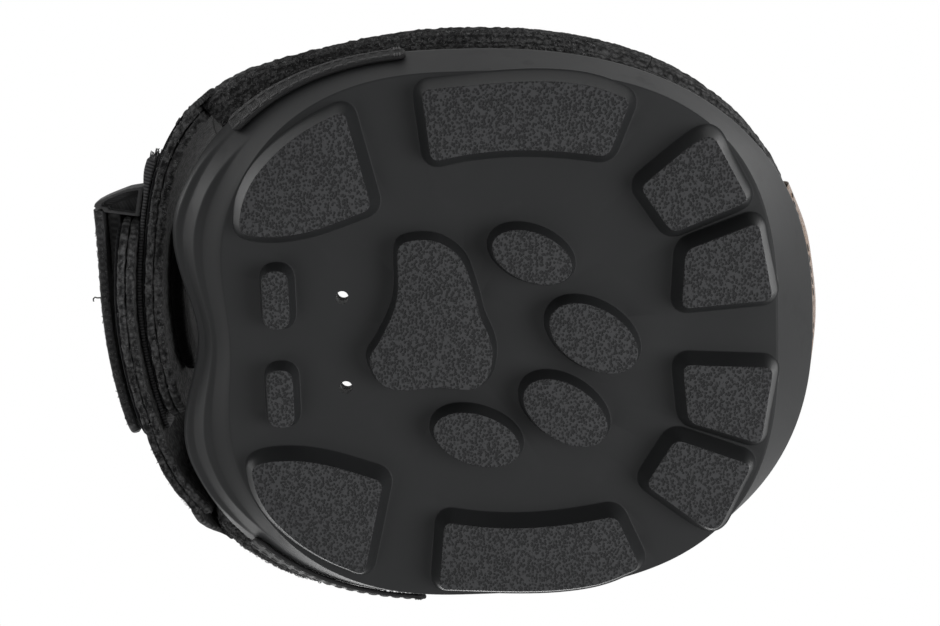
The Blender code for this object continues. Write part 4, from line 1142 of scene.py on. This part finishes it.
def make_outer_flap(settings):
    start, stop = OUTER_FLAP_ROOT, OUTER_FLAP_END
    fine = (settings.turn_step, settings.height_step)
    layers = (
        ("outer_flap_padding", "outer_flap_lining", FLAP_LAYERS["lining"], FLAP_PADDING, 0.8, 3.0),
        ("outer_flap_cloth", "outer_flap_shell", FLAP_LAYERS["shell"], SHELL_THICKNESS, None, 4.0),
    )
    for name, node, offset, thickness, fill, seed in layers:
        layer = flap_slab(start, stop, offset, thickness)
        shape = {"relief": flap_relief, "shift": wavy(seed, outer_flap_shift), "rounded": SEWN_START}
        lay(name, layer, fine, "outer_flap", "textile", [node], fill, **shape)
    hook = flap_slab(HOOK_START, HOOK_END, FLAP_LAYERS["hook"], HOOK_THICKNESS, 0.0010, HOOK_INSET)
    nodes = ["outer_flap_hook_tape"]
    lay("hook_band", hook, (0.5, 0.0008), "outer_flap", "hook_tape", nodes, relief=hook_splay)
    low, high = even(STRAP_LOW - 0.0025), even(STRAP_LOW + STRAP_WIDTH + 0.0025)
    pile = Slab(HEEL, HOOK_START, stop - 1.5, low, high, 0.0050, FLAP_LAYERS["outer_loop"], PILE_THICKNESS)
    lay("outer_flap_pile", pile, (0.8, 0.0010), "outer_flap", "loop_pile", ["outer_flap_loop_patch"])


def strap_lift(angle):
    """The strap rises from the flap behind its hook patch, up to its sewn end."""
    start = STRAP_END + STRAP_PATCH_TURN
    share = min(1.0, max(0.0, (angle - start) / (STRAP_ROOT - start)))
    return STRAP_ROOT_LIFT * share**3


def fold_outline():
    """Plan of the folded webbing: metres round the boot and off the flap face."""
    inner = FLAP_LAYERS["lining"]
    strap = STRAP_OFFSET + STRAP_ROOT_LIFT
    plan = [(angle, lerp(inner, strap + STRAP_THICKNESS, share)) for angle, share in ANCHOR_PLAN]
    plan += [(ANCHOR_PLAN[-1][0], strap), (ANCHOR_FLAP_ANGLE, strap - FIT_GAP), (ANCHOR_FLAP_ANGLE, inner)]
    corners = [Vector((math.radians(angle) * NOMINAL_RADIUS, offset)) for angle, offset in plan]
    return rounded_path(corners, 0.0006, 4, closed=True)


def make_anchor():
    """The folded webbing round the flap's free end: a band round a darker hollow."""
    outline = evened(fold_outline(), FOLD_STEP)
    middle = sum(outline, Vector((0.0, 0.0))) / len(outline)
    ends = [(0.70, 0.0040), (0.74, 0.0008), (0.78, 0.0), (0.90, 0.0), (0.97, 0.0003), (1.0, 0.0008)]
    rows = [(1.0, rise) for rise in spread(0.0018, STRAP_WIDTH - 0.0018, 0.0010)]
    levels = ends + rows + [(share, STRAP_WIDTH - rise) for share, rise in reversed(ends)]
    rings = []
    for share, rise in levels:
        points = [lerp(middle, point, share) for point in outline]
        height = STRAP_LOW + rise
        rings.append([HEEL.point(math.degrees(p.x / NOMINAL_RADIUS), height, p.y) for p in points])
    mesh = mesh_from_rings("strap_fold", rings)
    layer = mesh.uv_layers.new(name="cloth")
    for loop in mesh.loops:
        row, index = divmod(loop.vertex_index, len(outline))
        layer.data[loop.index].uv = (index * FOLD_STEP, levels[row][1])
    mesh.shade_smooth()
    finish_piece("strap_fold", mesh, "outer_flap", "webbing", ["strap_anchor"])
    core_low, core_high = even(STRAP_LOW + 0.0040), even(STRAP_LOW + STRAP_WIDTH - 0.0040)
    core = Slab(HEEL, 188.0, ANCHOR_FLAP_ANGLE, core_low, core_high, 0.0, STRAP_OFFSET - 0.0043, 0.0040)
    lay("strap_fold_core", core, (0.6, 0.0009), "outer_flap", "webbing", shift=strap_lift)


def bind_root(slab, relief, shift, body, inwards):
    """Textile over the sewn root of a flap."""
    name = f"{body}_root_binding"
    mesh = slab_mesh(name, slab, (0.4, 0.0007), relief, shift)
    mesh.materials.append(MATERIALS["textile"])
    obj = placed(name, mesh)
    middle = FLAP_LOW + FLAP_HEIGHT / 2
    start, end = (slab.face.point(angle, middle) for angle in inwards)
    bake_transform(obj)


def make_root_bindings():
    """The textile over both sewn roots, which curls up past the end of the flap's own edge."""
    low, high = FLAP_LOW + 0.0004, even(FLAP_LOW + FLAP_HEIGHT - 0.0004)
    curl = BULGE_HEIGHT - 0.0015

    def inner_low(angle):
        return lerp(low, curl, smoothstep(INNER_FLAP_ROOT + 0.3, INNER_FLAP_ROOT + 3.0, angle))

    def outer_low(angle):
        return lerp(curl, low, smoothstep(OUTER_FLAP_ROOT - 5.0, OUTER_FLAP_ROOT - 0.6, angle))

    def climb(angle):
        rise = FLAP_LAYERS["shell"] + SHELL_THICKNESS - FLAP_LAYERS["lining"] + FIT_GAP
        return rise * smoothstep(OUTER_FLAP_ROOT - 6.8, OUTER_FLAP_ROOT + 1.0, angle)

    inner = Slab(HEEL, INNER_FLAP_ROOT - 2.6, INNER_FLAP_ROOT + 3.4, inner_low, high, 0.0, -0.0006, 0.0016)
    bind_root(inner, flap_relief, flat, "inner_flap", (INNER_FLAP_ROOT + 2.0, INNER_FLAP_ROOT - 2.0))
    outer = Slab(HEEL, OUTER_FLAP_ROOT - 7.0, OUTER_FLAP_ROOT + 2.6, outer_low, high, 0.0, -0.0010, 0.0020)
    bind_root(outer, flap_relief, climb, "outer_flap", (OUTER_FLAP_ROOT - 4.0, OUTER_FLAP_ROOT + 1.5))


def make_strap():
    low, high = even(STRAP_LOW), even(STRAP_LOW + STRAP_WIDTH)
    band = Slab(HEEL, STRAP_END, STRAP_ROOT, low, high, 0.0055, STRAP_OFFSET, STRAP_THICKNESS)
    shape = {"shift": strap_lift, "rounded": SEWN_STOP}
    lay("strap_band", band, (0.5, 0.0008), "locking_strap", "webbing", ["strap_webbing"], **shape)
    low, high = even(STRAP_LOW + 0.0025), even(STRAP_LOW + STRAP_WIDTH - 0.0025)
    start, stop = STRAP_END + 1.5, STRAP_END + STRAP_PATCH_TURN
    hook = Slab(HEEL, start, stop, low, high, 0.0025, STRAP_OFFSET - FIT_GAP - 0.0008, 0.0008)
    lay("strap_hook_face", hook, (0.6, 0.0008), "locking_strap", "hook_tape", ["strap_hook_patch"])


def patch_mesh(shape, across, steps):
    """An open sheet of points that fibres grow from: shape gives a point for two shares."""
    bm = bmesh.new()
    grid = [[bm.verts.new(shape(i / steps, j / across)) for j in range(across + 1)] for i in range(steps + 1)]
    for left, right in zip(grid, grid[1:]):
        for corners in zip(left, right, right[1:], left[1:]):
            bm.faces.new(corners)
    return mesh_of(bm, "patch")


def face_patch(face, start, stop, low, high, offset, relief=flat):
    """The outer side of a cloth piece between two angles and two heights."""
    def shape(along, up):
        angle, height = lerp(start, stop, along), lerp(low, high, up)
        return face.point(angle, height, offset + relief(angle, height))

    return patch_mesh(shape, 16, max(4, round(abs(stop - start))))


def edge_patch(start, stop, height, inner, outer, shift=flat):
    """The lower edge of a flap's layer, seen from below."""
    def shape(along, across):
        angle = lerp(start, stop, along)
        return HEEL.point(angle, height, lerp(outer, inner, across) + shift(angle))

    return patch_mesh(shape, 2, max(4, round(abs(stop - start))))


def new_group(name, *sockets):
    """A node group with these inputs between its geometry and its material, and the wires of all of them."""
    tree = bpy.data.node_groups.new(name, "GeometryNodeTree")
    for socket, kind in (("Geometry", "Geometry"), *sockets, ("Material", "Material")):
        tree.interface.new_socket(socket, in_out="INPUT", socket_type=f"NodeSocket{kind}")
    tree.interface.new_socket("Geometry", in_out="OUTPUT", socket_type="NodeSocketGeometry")
    graph = Graph(tree)
    source = graph.add("NodeGroupInput")
    return tree, graph, {item.name: Wire(graph, item) for item in source.outputs if item.name}


def strewn(graph, material, smooth, inputs):
    """Ends a node group: instances on points, made real and given their material."""
    made = graph.made("GeometryNodeInstanceOnPoints", inputs)
    made = graph.made("GeometryNodeRealizeInstances", {"Geometry": made})
    if smooth:
        made = graph.made("GeometryNodeSetShadeSmooth", {"Geometry": made})
    made = graph.made("GeometryNodeSetMaterial", {"Geometry": made, "Material": material})
    graph.feed(graph.add("NodeGroupOutput").inputs["Geometry"], made)


def fuzz_group():
    """A node group that grows small loops of yarn from a sheet."""
    numbers = [(name, "Float") for name in ("Density", "Radius", "Thickness")]
    tree, graph, given = new_group("yarn_loops", *numbers, ("Seed", "Int"))
    seed = given["Seed"]
    inputs = {"Mesh": given["Geometry"], "Seed": seed, "Density": given["Density"]}
    points = graph.add("GeometryNodeDistributePointsOnFaces", None, inputs)
    inputs = {"Resolution": 5, "Radius": given["Radius"], "Sweep Angle": math.radians(200.0)}
    arc = graph.made("GeometryNodeCurveArc", inputs)
    section = graph.made("GeometryNodeCurvePrimitiveCircle", {"Resolution": 3, "Radius": given["Thickness"]})
    inputs = {"Curve": arc, "Profile Curve": section, "Fill Caps": True}
    yarn = graph.made("GeometryNodeCurveToMesh", inputs)
    upright = graph.made("GeometryNodeTransform", {"Geometry": yarn, "Rotation": (math.pi / 2, 0.0, 0.0)})
    inputs = {"Seed": seed, 0: (-0.9, -0.9, 0.0), 1: (0.9, 0.9, math.tau)}
    lean = graph.made("FunctionNodeRandomValue", inputs, data_type="FLOAT_VECTOR")
    turn = graph.made("FunctionNodeEulerToRotation", {0: lean})
    inputs = {"Rotation": graph.wire(points, "Rotation"), "Rotate By": turn}
    turned = graph.made("FunctionNodeRotateRotation", inputs, rotation_space="LOCAL")
    size = graph.made("FunctionNodeRandomValue", {"Seed": seed + 7.0, 2: 0.55, 3: 1.45}, 1, data_type="FLOAT")
    inputs = {"Points": graph.wire(points), "Instance": upright, "Rotation": turned, "Scale": size}
    strewn(graph, given["Material"], False, inputs)
    return tree


def grown(tree, mesh, values):
    """The mesh that a node group makes from a guide mesh with these inputs."""
    guide = placed("guide", mesh)
    modifier = guide.modifiers.new("Grow", "NODES")
    modifier.node_group = tree
    for item in tree.interface.items_tree:
        if item.in_out == "INPUT" and item.name in values:
            modifier[item.identifier] = values[item.name]
    return baked(guide)


def joined(meshes):
    bm = bmesh.new()
    for mesh in meshes:
        bm.from_mesh(mesh)
        bpy.data.meshes.remove(mesh)
    return mesh_of(bm, "joined")


def yarn_patches():
    """The sheets that each body's loops of yarn grow from, with the loops for each square metre."""
    over = 0.0001
    side_low, side_high = 0.0280, 0.0362
    shell, lining = FLAP_LAYERS["shell"], FLAP_LAYERS["lining"]
    inner = (INNER_FLAP_END + 6.0, INNER_FLAP_ROOT, FLAP_LOW)
    outer = (OUTER_FLAP_ROOT, OUTER_FLAP_END - 6.0, FLAP_LOW)
    strap = (STRAP_END + 2.0, STRAP_ROOT, STRAP_LOW)
    return (
        ("boot", 1500000.0, [
            face_patch(UPPER, -RIGHT_QUARTER_END, -62.0, side_low, side_high, over, textile_relief),
            face_patch(UPPER, 62.0, 142.0, side_low, side_high, over, textile_relief),
        ]),
        ("inner_flap", 2600000.0, [
            edge_patch(*inner, -0.0046, -0.0024),
            edge_patch(*inner, -0.0019, -0.0001),
            face_patch(HEEL, 209.0, INNER_FLAP_ROOT, FLAP_LOW + 0.0006, 0.0320, over),
        ]),
        ("outer_flap", 2600000.0, [
            edge_patch(*outer, lining + 0.0001, lining + 0.0021, outer_flap_shift),
            edge_patch(*outer, shell + 0.0001, shell + 0.0019, outer_flap_shift),
        ]),
        ("locking_strap", 2600000.0, [
            edge_patch(*strap, STRAP_OFFSET + 0.0002, STRAP_OFFSET + 0.0024, strap_lift),
        ]),
    )


def make_yarn(settings):
    """Small loops that stand out of the textile where it is seen past the sole."""
    tree = fuzz_group()
    values = {"Radius": settings.yarn_loop, "Thickness": settings.yarn_thickness, "Seed": 3}
    for body, density, patches in yarn_patches():
        values.update(Density=density, Material=MATERIALS["yarn"])
        mesh = grown(tree, joined(patches), values)
        finish_piece(f"{body}_yarn_loops", mesh, body, "textile", material="yarn")


def tube_mesh(points, radius, sides=4):
    """A thin thread through points."""
    turns = [math.tau * side / sides for side in range(sides)]
    rings = []
    for index, point in enumerate(points):
        ahead = (points[min(index + 1, len(points) - 1)] - points[max(index - 1, 0)]).normalized()
        across = ahead.cross(Vector((0.31, 0.22, 0.93))).normalized()
        upward = across.cross(ahead)
        rings.append([point + (across * math.cos(turn) + upward * math.sin(turn)) * radius for turn in turns])
    return mesh_from_rings("thread", rings)


def frayed_threads():
    """Loose ends of thread past the hook tape's cut end."""
    meshes = []
    for index in range(88):
        wander = [noise.noise(Vector((index * 1.7, seed, 0.5))) for seed in (1.0, 5.0, 9.0)]
        low = FLAP_LOW + 0.0052 + 0.00052 * index
        out = FLAP_LAYERS["hook"] + 0.0006 + 0.0006 * wander[0] + (index % 3) * hook_splay(HOOK_END) / 2
        reach = 0.9 + 0.9 * wander[1]
        path = []
        for share in (0.0, 0.4, 0.8, 1.2):
            height, offset = low + 0.0010 * wander[2] * share**2, out + 0.0012 * wander[0] * share
            path.append(HEEL.point(HOOK_END - 0.3 + reach * share, height, offset))
        meshes.append(tube_mesh(path, 0.00012))
    return joined(meshes)


def loose_thread():
    """One end of thread that sticks out of the strap's edge, with a small hook at its tip."""
    face = STRAP_OFFSET + STRAP_THICKNESS + strap_lift(186.0)
    steps = (
        (186.0, 0.0004, -0.0002), (186.0, 0.0001, 0.0007), (186.1, 0.0002, 0.0014), (185.8, 0.0004, 0.0019),
        (185.4, 0.0003, 0.0018),
    )
    path = [HEEL.point(angle, STRAP_LOW + rise, face + out) for angle, rise, out in steps]
    return tube_mesh(path, 0.00020)


def make_loose_threads():
    finish_piece("frayed_end", frayed_threads(), "outer_flap", "hook_tape", material="yarn")
    finish_piece("loose_thread_end", loose_thread(), "locking_strap", "webbing", material="yarn")


def stitch_group():
    """A node group that lays a stitch at even distances along each line of its input."""
    numbers = [(name, "Float") for name in ("Spacing", "Length", "Thickness")]
    tree, graph, given = new_group("stitch_rows", *numbers)
    thickness = given["Thickness"]
    lines = graph.made("GeometryNodeMeshToCurve", {"Mesh": given["Geometry"]})
    inputs = {"Curve": lines, "Length": given["Spacing"]}
    points = graph.made("GeometryNodeResampleCurve", inputs, mode="LENGTH")
    bead = graph.made("GeometryNodeMeshUVSphere", {"Segments": 8, "Rings": 6, "Radius": 0.5})
    size = graph.made("ShaderNodeCombineXYZ", {"X": given["Length"], "Y": thickness, "Z": thickness})
    tangent = graph.made("GeometryNodeInputTangent")
    turned = graph.made("FunctionNodeAlignRotationToVector", {"Vector": tangent}, axis="X")
    inputs = {"Points": points, "Instance": bead, "Rotation": turned, "Scale": size}
    strewn(graph, given["Material"], True, inputs)
    return tree


def level_line(face, start, stop, height, offset):
    """A row of stitches at a height that depends on the angle."""
    return [face.point(angle, height(angle), offset) for angle in spread(start, stop, 1.0)]


def upright_line(face, angle, low, high, offset):
    return [face.point(angle, height, offset) for height in spread(low, high, 0.0015)]


def frame_line(face, start, stop, low, high, corner, offset, shift=flat):
    """A row of stitches once round a patch with rounded corners."""
    corner_turn = math.degrees(corner / NOMINAL_RADIUS)
    corners = (
        (stop, -1, low, 1, False), (stop, -1, high, -1, True),
        (start, 1, high, -1, False), (start, 1, low, 1, True),
    )
    places = []
    for side, inwards, level, upwards, swapped in corners:
        for share in (0.0, 0.25, 0.5, 0.75, 1.0):
            turn = math.pi / 2 * share
            gaps = (1 - math.sin(turn), 1 - math.cos(turn))
            along, up = reversed(gaps) if swapped else gaps
            places.append((side + inwards * corner_turn * along, level + upwards * corner * up))
    places.append(places[0])
    dense = []
    for (angle, height), (next_angle, next_height) in zip(places, places[1:]):
        for share in (0.0, 0.2, 0.4, 0.6, 0.8):
            dense.append((lerp(angle, next_angle, share), lerp(height, next_height, share)))
    dense.append(places[-1])
    return [face.point(angle, height, offset + shift(angle)) for angle, height in dense]


def boot_seams():
    lines = []
    for side in (1, -1):
        ends = sorted((side * 100.6, side * 134.6))
        for height in (0.0181, 0.0213):
            lines.append(level_line(WALL, *ends, even(height), FIT_GAP + 0.00133))
        for angle in (100.2, 100.7, 101.2):
            lines.append(upright_line(WALL, side * angle, 0.0176, 0.0218, FIT_GAP + 0.00140))
        for angle in (side * 48.6, side * 55.4):
            lines.append(upright_line(UPPER, angle, 0.0475, 0.0732, FIT_GAP + 0.00105))
    for drop in (0.0034, 0.0096):
        lines.append(level_line(UPPER, -122.5, 122.5, collar_below(drop), FIT_GAP + 0.00105))
    lines.append(frame_line(UPPER, -19.0, 19.4, 0.0334, 0.0620, 0.0030, SEAT_GAP + 0.00162, guard_swell))
    return lines


def inner_flap_seams():
    start, stop = INNER_FLAP_END, INNER_FLAP_ROOT
    low, high = FLAP_LOW + 0.0066, FLAP_LOW + FLAP_HEIGHT - 0.0066
    pile_face = FLAP_LAYERS["loop"] + 0.00092
    return [
        frame_line(HEEL, start + 2.6, stop - 0.6, *FLAP_SEAM_HEIGHTS, 0.0080, ON_CLOTH),
        frame_line(HEEL, start + 3.0, stop - 1.5, low, high, 0.0040, pile_face),
    ]


def outer_flap_seams():
    low, high = FLAP_SEAM_HEIGHTS
    face = FLAP_LAYERS["shell"] + SHELL_THICKNESS + ON_CLOTH
    return [
        frame_line(HEEL, 145.4, 197.7, low, high, 0.0080, face, outer_flap_shift),
        upright_line(HEEL, 147.0, low + 0.002, high - 0.002, face + outer_flap_shift(147.0)),
    ]


def strap_seams():
    low, high = STRAP_LOW + 0.0022, STRAP_LOW + STRAP_WIDTH - 0.0022
    face = STRAP_OFFSET + STRAP_THICKNESS + ON_CLOTH
    return [frame_line(HEEL, STRAP_END + 1.6, STRAP_ROOT - 1.0, low, high, 0.0040, face, strap_lift)]


def make_stitches(settings):
    """Every sewn row, one object for each body."""
    tree = stitch_group()
    seams = {
        "boot": boot_seams(), "inner_flap": inner_flap_seams(), "outer_flap": outer_flap_seams(),
        "locking_strap": strap_seams(),
    }
    values = {
        "Spacing": settings.spacing, "Length": settings.length, "Thickness": settings.thickness,
        "Material": MATERIALS["thread"],
    }
    for body, lines in seams.items():
        bm = bmesh.new()
        for line in lines:
            vertices = [bm.verts.new(point) for point in line]
            for ends in zip(vertices, vertices[1:]):
                bm.edges.new(ends)
        mesh = grown(tree, mesh_of(bm, "guide"), values)
        finish_piece(f"{body}_stitches", mesh, body, "tape", material="thread")


def floor_material():
    """Pale floor that is seen from above only, and through which light from below passes."""
    material, graph, shader = new_material("floor")
    shader.inputs["Base Color"].default_value = (0.80, 0.80, 0.80, 1.0)
    shader.inputs["Roughness"].default_value = 0.9
    shader.inputs["Specular IOR Level"].default_value = 0.1
    camera_ray = graph.wire(graph.add("ShaderNodeLightPath"), "Is Camera Ray")
    behind = graph.wire(graph.add("ShaderNodeNewGeometry"), "Backfacing")
    clear = graph.wire(graph.add("ShaderNodeBsdfTransparent"))
    solid = graph.wire(shader)
    shown = graph.add("ShaderNodeMixShader", None, {0: camera_ray * (1.0 - behind), 1: clear, 2: solid})
    output = material.node_tree.nodes["Material Output"]
    graph.feed(output.inputs["Surface"], graph.wire(shown))
    return material


def make_floor():
    bm = bmesh.new()
    bmesh.ops.create_grid(bm, x_segments=2, y_segments=2, size=3.0)
    floor = placed("floor", mesh_of(bm, "floor"))
    floor.data.materials.append(floor_material())
    floor.location.z = -0.0004


def make_world(strength):
    """Even light on the boot, and white where the camera, a mirror or a clear ray sees past it."""
    world = bpy.data.worlds.new("studio")
    bpy.context.scene.world = world
    world.use_nodes = True
    graph = Graph(world.node_tree)
    world.node_tree.nodes.clear()
    path = graph.add("ShaderNodeLightPath")
    kinds = ("Camera", "Glossy", "Transmission")
    camera, mirror, clear = (graph.wire(path, f"Is {kind} Ray") for kind in kinds)
    seen = graph.math("MINIMUM", camera + mirror + clear, 1.0)
    inputs = {"Color": (1.0, 1.0, 1.0, 1.0), "Strength": strength + (1.0 - strength) * seen}
    background = graph.made("ShaderNodeBackground", inputs)
    graph.feed(graph.add("ShaderNodeOutputWorld").inputs["Surface"], background)


def add_lamp(name, place, size, power):
    data = bpy.data.lights.new(name, "AREA")
    data.shape = "DISK"
    data.size = size
    data.energy = power
    lamp = bpy.data.objects.new(name, data)
    lamp.location = place
    lamp.rotation_mode = "QUATERNION"
    lamp.rotation_quaternion = (Vector((0, 0, 0.03)) - Vector(place)).to_track_quat("-Z", "Y")
    lamp.visible_camera = False
    bpy.context.scene.collection.objects.link(lamp)


def make_camera(settings):
    """Looks up at the sole from below, a little from the right side."""
    tilt, roll = settings.tilt, settings.roll
    right = Vector((math.sin(roll), -math.cos(roll), 0.0))
    sideways = Vector((-math.cos(roll), -math.sin(roll), 0.0))
    up = sideways * math.cos(tilt) + Vector((0, 0, 1)) * math.sin(tilt)
    ahead = -sideways * math.sin(tilt) + Vector((0, 0, 1)) * math.cos(tilt)
    data = bpy.data.cameras.new("camera")
    data.lens = settings.lens
    data.sensor_width = 36.0
    data.clip_start = 0.01
    camera = bpy.data.objects.new("camera", data)
    aim = Vector((CAMERA_AIM[0], CAMERA_AIM[1] + SHIFT, 0.0))
    turn = Matrix((right, up, -ahead)).transposed().to_4x4()
    camera.matrix_world = Matrix.Translation(aim - ahead * settings.distance) @ turn
    bpy.context.scene.collection.objects.link(camera)
    bpy.context.scene.camera = camera


def make_stage(settings):
    make_floor()
    make_world(settings.world_strength)
    add_lamp("key_below", (0.12, -0.90, -0.85), 0.8, settings.below_power)
    add_lamp("fill_below", (0.35, 0.60, -0.90), 0.8, settings.below_power * 0.20)
    add_lamp("key_above", (0.0, -0.95, 1.20), 0.9, settings.above_power * 0.4)
    add_lamp("fill_above", (0.80, 0.20, 0.80), 0.9, settings.above_power * 0.5)
    add_lamp("back_above", (-0.20, 0.90, 0.70), 0.7, settings.above_power * 0.5)
    make_camera(settings)
    bpy.context.scene.view_settings.view_transform = "Standard"


def number(name, default, description, **options):
    return bpy.props.FloatProperty(name=name, default=default, description=description, **options)


def length(name, default, description):
    return number(name, default, description, unit="LENGTH", precision=5)


class HOOFBOOT_PG_sole(bpy.types.PropertyGroup):
    lug_edge: length("Lug edge", 0.0004, "Radius of the lugs' ground edges")
    lug_foot: length("Lug foot", 0.0003, "Fillet where the lugs meet the base")
    cup_edge: length("Cup edge", 0.0005, "Rounding of the cup's steps and lip")
    foam_edge: length("Insole edge", 0.0007, "Rounding of the insole's edge")


class HOOFBOOT_PG_cloth(bpy.types.PropertyGroup):
    turn_step: number("Column step", 0.45, "Degrees between columns of points")
    height_step: length("Row step", 0.0007, "Distance between rows of points")
    pleats: bpy.props.IntProperty(name="Collar channels", default=46, description="Sewn round the collar")
    yarn_loop: length("Yarn loop", 0.00030, "Radius of the loops that stand out of the textile")
    yarn_thickness: length("Yarn thickness", 0.00008, "Radius of the yarn")


class HOOFBOOT_PG_stitch(bpy.types.PropertyGroup):
    spacing: length("Spacing", 0.0031, "Distance from stitch to stitch")
    length: length("Length", 0.0024, "Length of a stitch")
    thickness: length("Thickness", 0.00055, "Thickness of the thread")


class HOOFBOOT_PG_stage(bpy.types.PropertyGroup):
    tilt: number("Tilt", math.radians(11.0), "Camera tilt", subtype="ANGLE")
    roll: number("Roll", math.radians(1.9), "Camera roll", subtype="ANGLE")
    lens: number("Lens", 88.4, "Focal length in millimetres")
    distance: length("Distance", 0.600, "From the camera to the ground face")
    world_strength: number("World", 0.42, "Light from all round")
    below_power: number("Lamps below", 14.0, "Power of the main lamp below")
    above_power: number("Lamps above", 16.0, "Power of the main lamp above")


class BootOperator(bpy.types.Operator):
    bl_options = {"REGISTER", "UNDO"}

    def execute(self, context):
        self.build(context.scene)
        return {"FINISHED"}


class HOOFBOOT_OT_sole(BootOperator):
    """Builds the rubber cup and its insole."""

    bl_idname = "hoofboot.sole"
    bl_label = "Sole"

    def build(self, scene):
        make_materials()
        make_outsole(scene.hoofboot_sole)
        make_insole(scene.hoofboot_sole)


class HOOFBOOT_OT_upper(BootOperator):
    """Builds the textile upper, its lining, collar, tapes, toe guard and rim tabs."""

    bl_idname = "hoofboot.upper"
    bl_label = "Upper"

    def build(self, scene):
        make_upper(scene.hoofboot_cloth)
        make_trim()
        make_collar(scene.hoofboot_cloth)


class HOOFBOOT_OT_flaps(BootOperator):
    """Builds the two heel flaps with their hook and loop pieces."""

    bl_idname = "hoofboot.flaps"
    bl_label = "Flaps"

    def build(self, scene):
        make_inner_flap(scene.hoofboot_cloth)
        make_outer_flap(scene.hoofboot_cloth)
        make_anchor()
        make_root_bindings()


class HOOFBOOT_OT_yarn(BootOperator):
    """Grows the yarn loops and the loose ends of thread."""

    bl_idname = "hoofboot.yarn"
    bl_label = "Yarn"

    def build(self, scene):
        make_yarn(scene.hoofboot_cloth)
        make_loose_threads()


class HOOFBOOT_OT_strap(BootOperator):
    """Builds the locking strap."""

    bl_idname = "hoofboot.strap"
    bl_label = "Strap"

    def build(self, scene):
        make_strap()


class HOOFBOOT_OT_stitches(BootOperator):
    """Sews the rows of stitches."""

    bl_idname = "hoofboot.stitches"
    bl_label = "Stitches"

    def build(self, scene):
        make_stitches(scene.hoofboot_stitch)


class HOOFBOOT_OT_stage(BootOperator):
    """Sets the floor, light and camera."""

    bl_idname = "hoofboot.stage"
    bl_label = "Stage"

    def build(self, scene):
        make_stage(scene.hoofboot_stage)


STEPS = (
    HOOFBOOT_OT_sole, HOOFBOOT_OT_upper, HOOFBOOT_OT_flaps, HOOFBOOT_OT_strap, HOOFBOOT_OT_yarn,
    HOOFBOOT_OT_stitches, HOOFBOOT_OT_stage,
)
SETTINGS = {
    "hoofboot_sole": HOOFBOOT_PG_sole,
    "hoofboot_cloth": HOOFBOOT_PG_cloth,
    "hoofboot_stitch": HOOFBOOT_PG_stitch,
    "hoofboot_stage": HOOFBOOT_PG_stage,
}


class HOOFBOOT_PT_panel(bpy.types.Panel):
    """Steps and settings of the hoof boot."""

    bl_idname = "HOOFBOOT_PT_panel"
    bl_label = "Hoof Boot"
    bl_space_type = "VIEW_3D"
    bl_region_type = "UI"
    bl_category = "Hoof Boot"

    def draw(self, context):
        for step in STEPS:
            self.layout.operator(step.bl_idname)
        for name, group in SETTINGS.items():
            box = self.layout.box()
            for setting in group.__annotations__:
                box.prop(getattr(context.scene, name), setting)


CLASSES = (*SETTINGS.values(), *STEPS, HOOFBOOT_PT_panel)


def register():
    for cls in CLASSES:
        bpy.utils.register_class(cls)
    for name, group in SETTINGS.items():
        setattr(bpy.types.Scene, name, bpy.props.PointerProperty(type=group))


def unregister():
    for name in SETTINGS:
        delattr(bpy.types.Scene, name)
    for cls in reversed(CLASSES):
        bpy.utils.unregister_class(cls)


def main():
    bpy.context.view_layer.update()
    register()
    for step in STEPS:
        group, name = step.bl_idname.split(".")
        getattr(getattr(bpy.ops, group), name)()


if __name__ == "__main__":
    main()
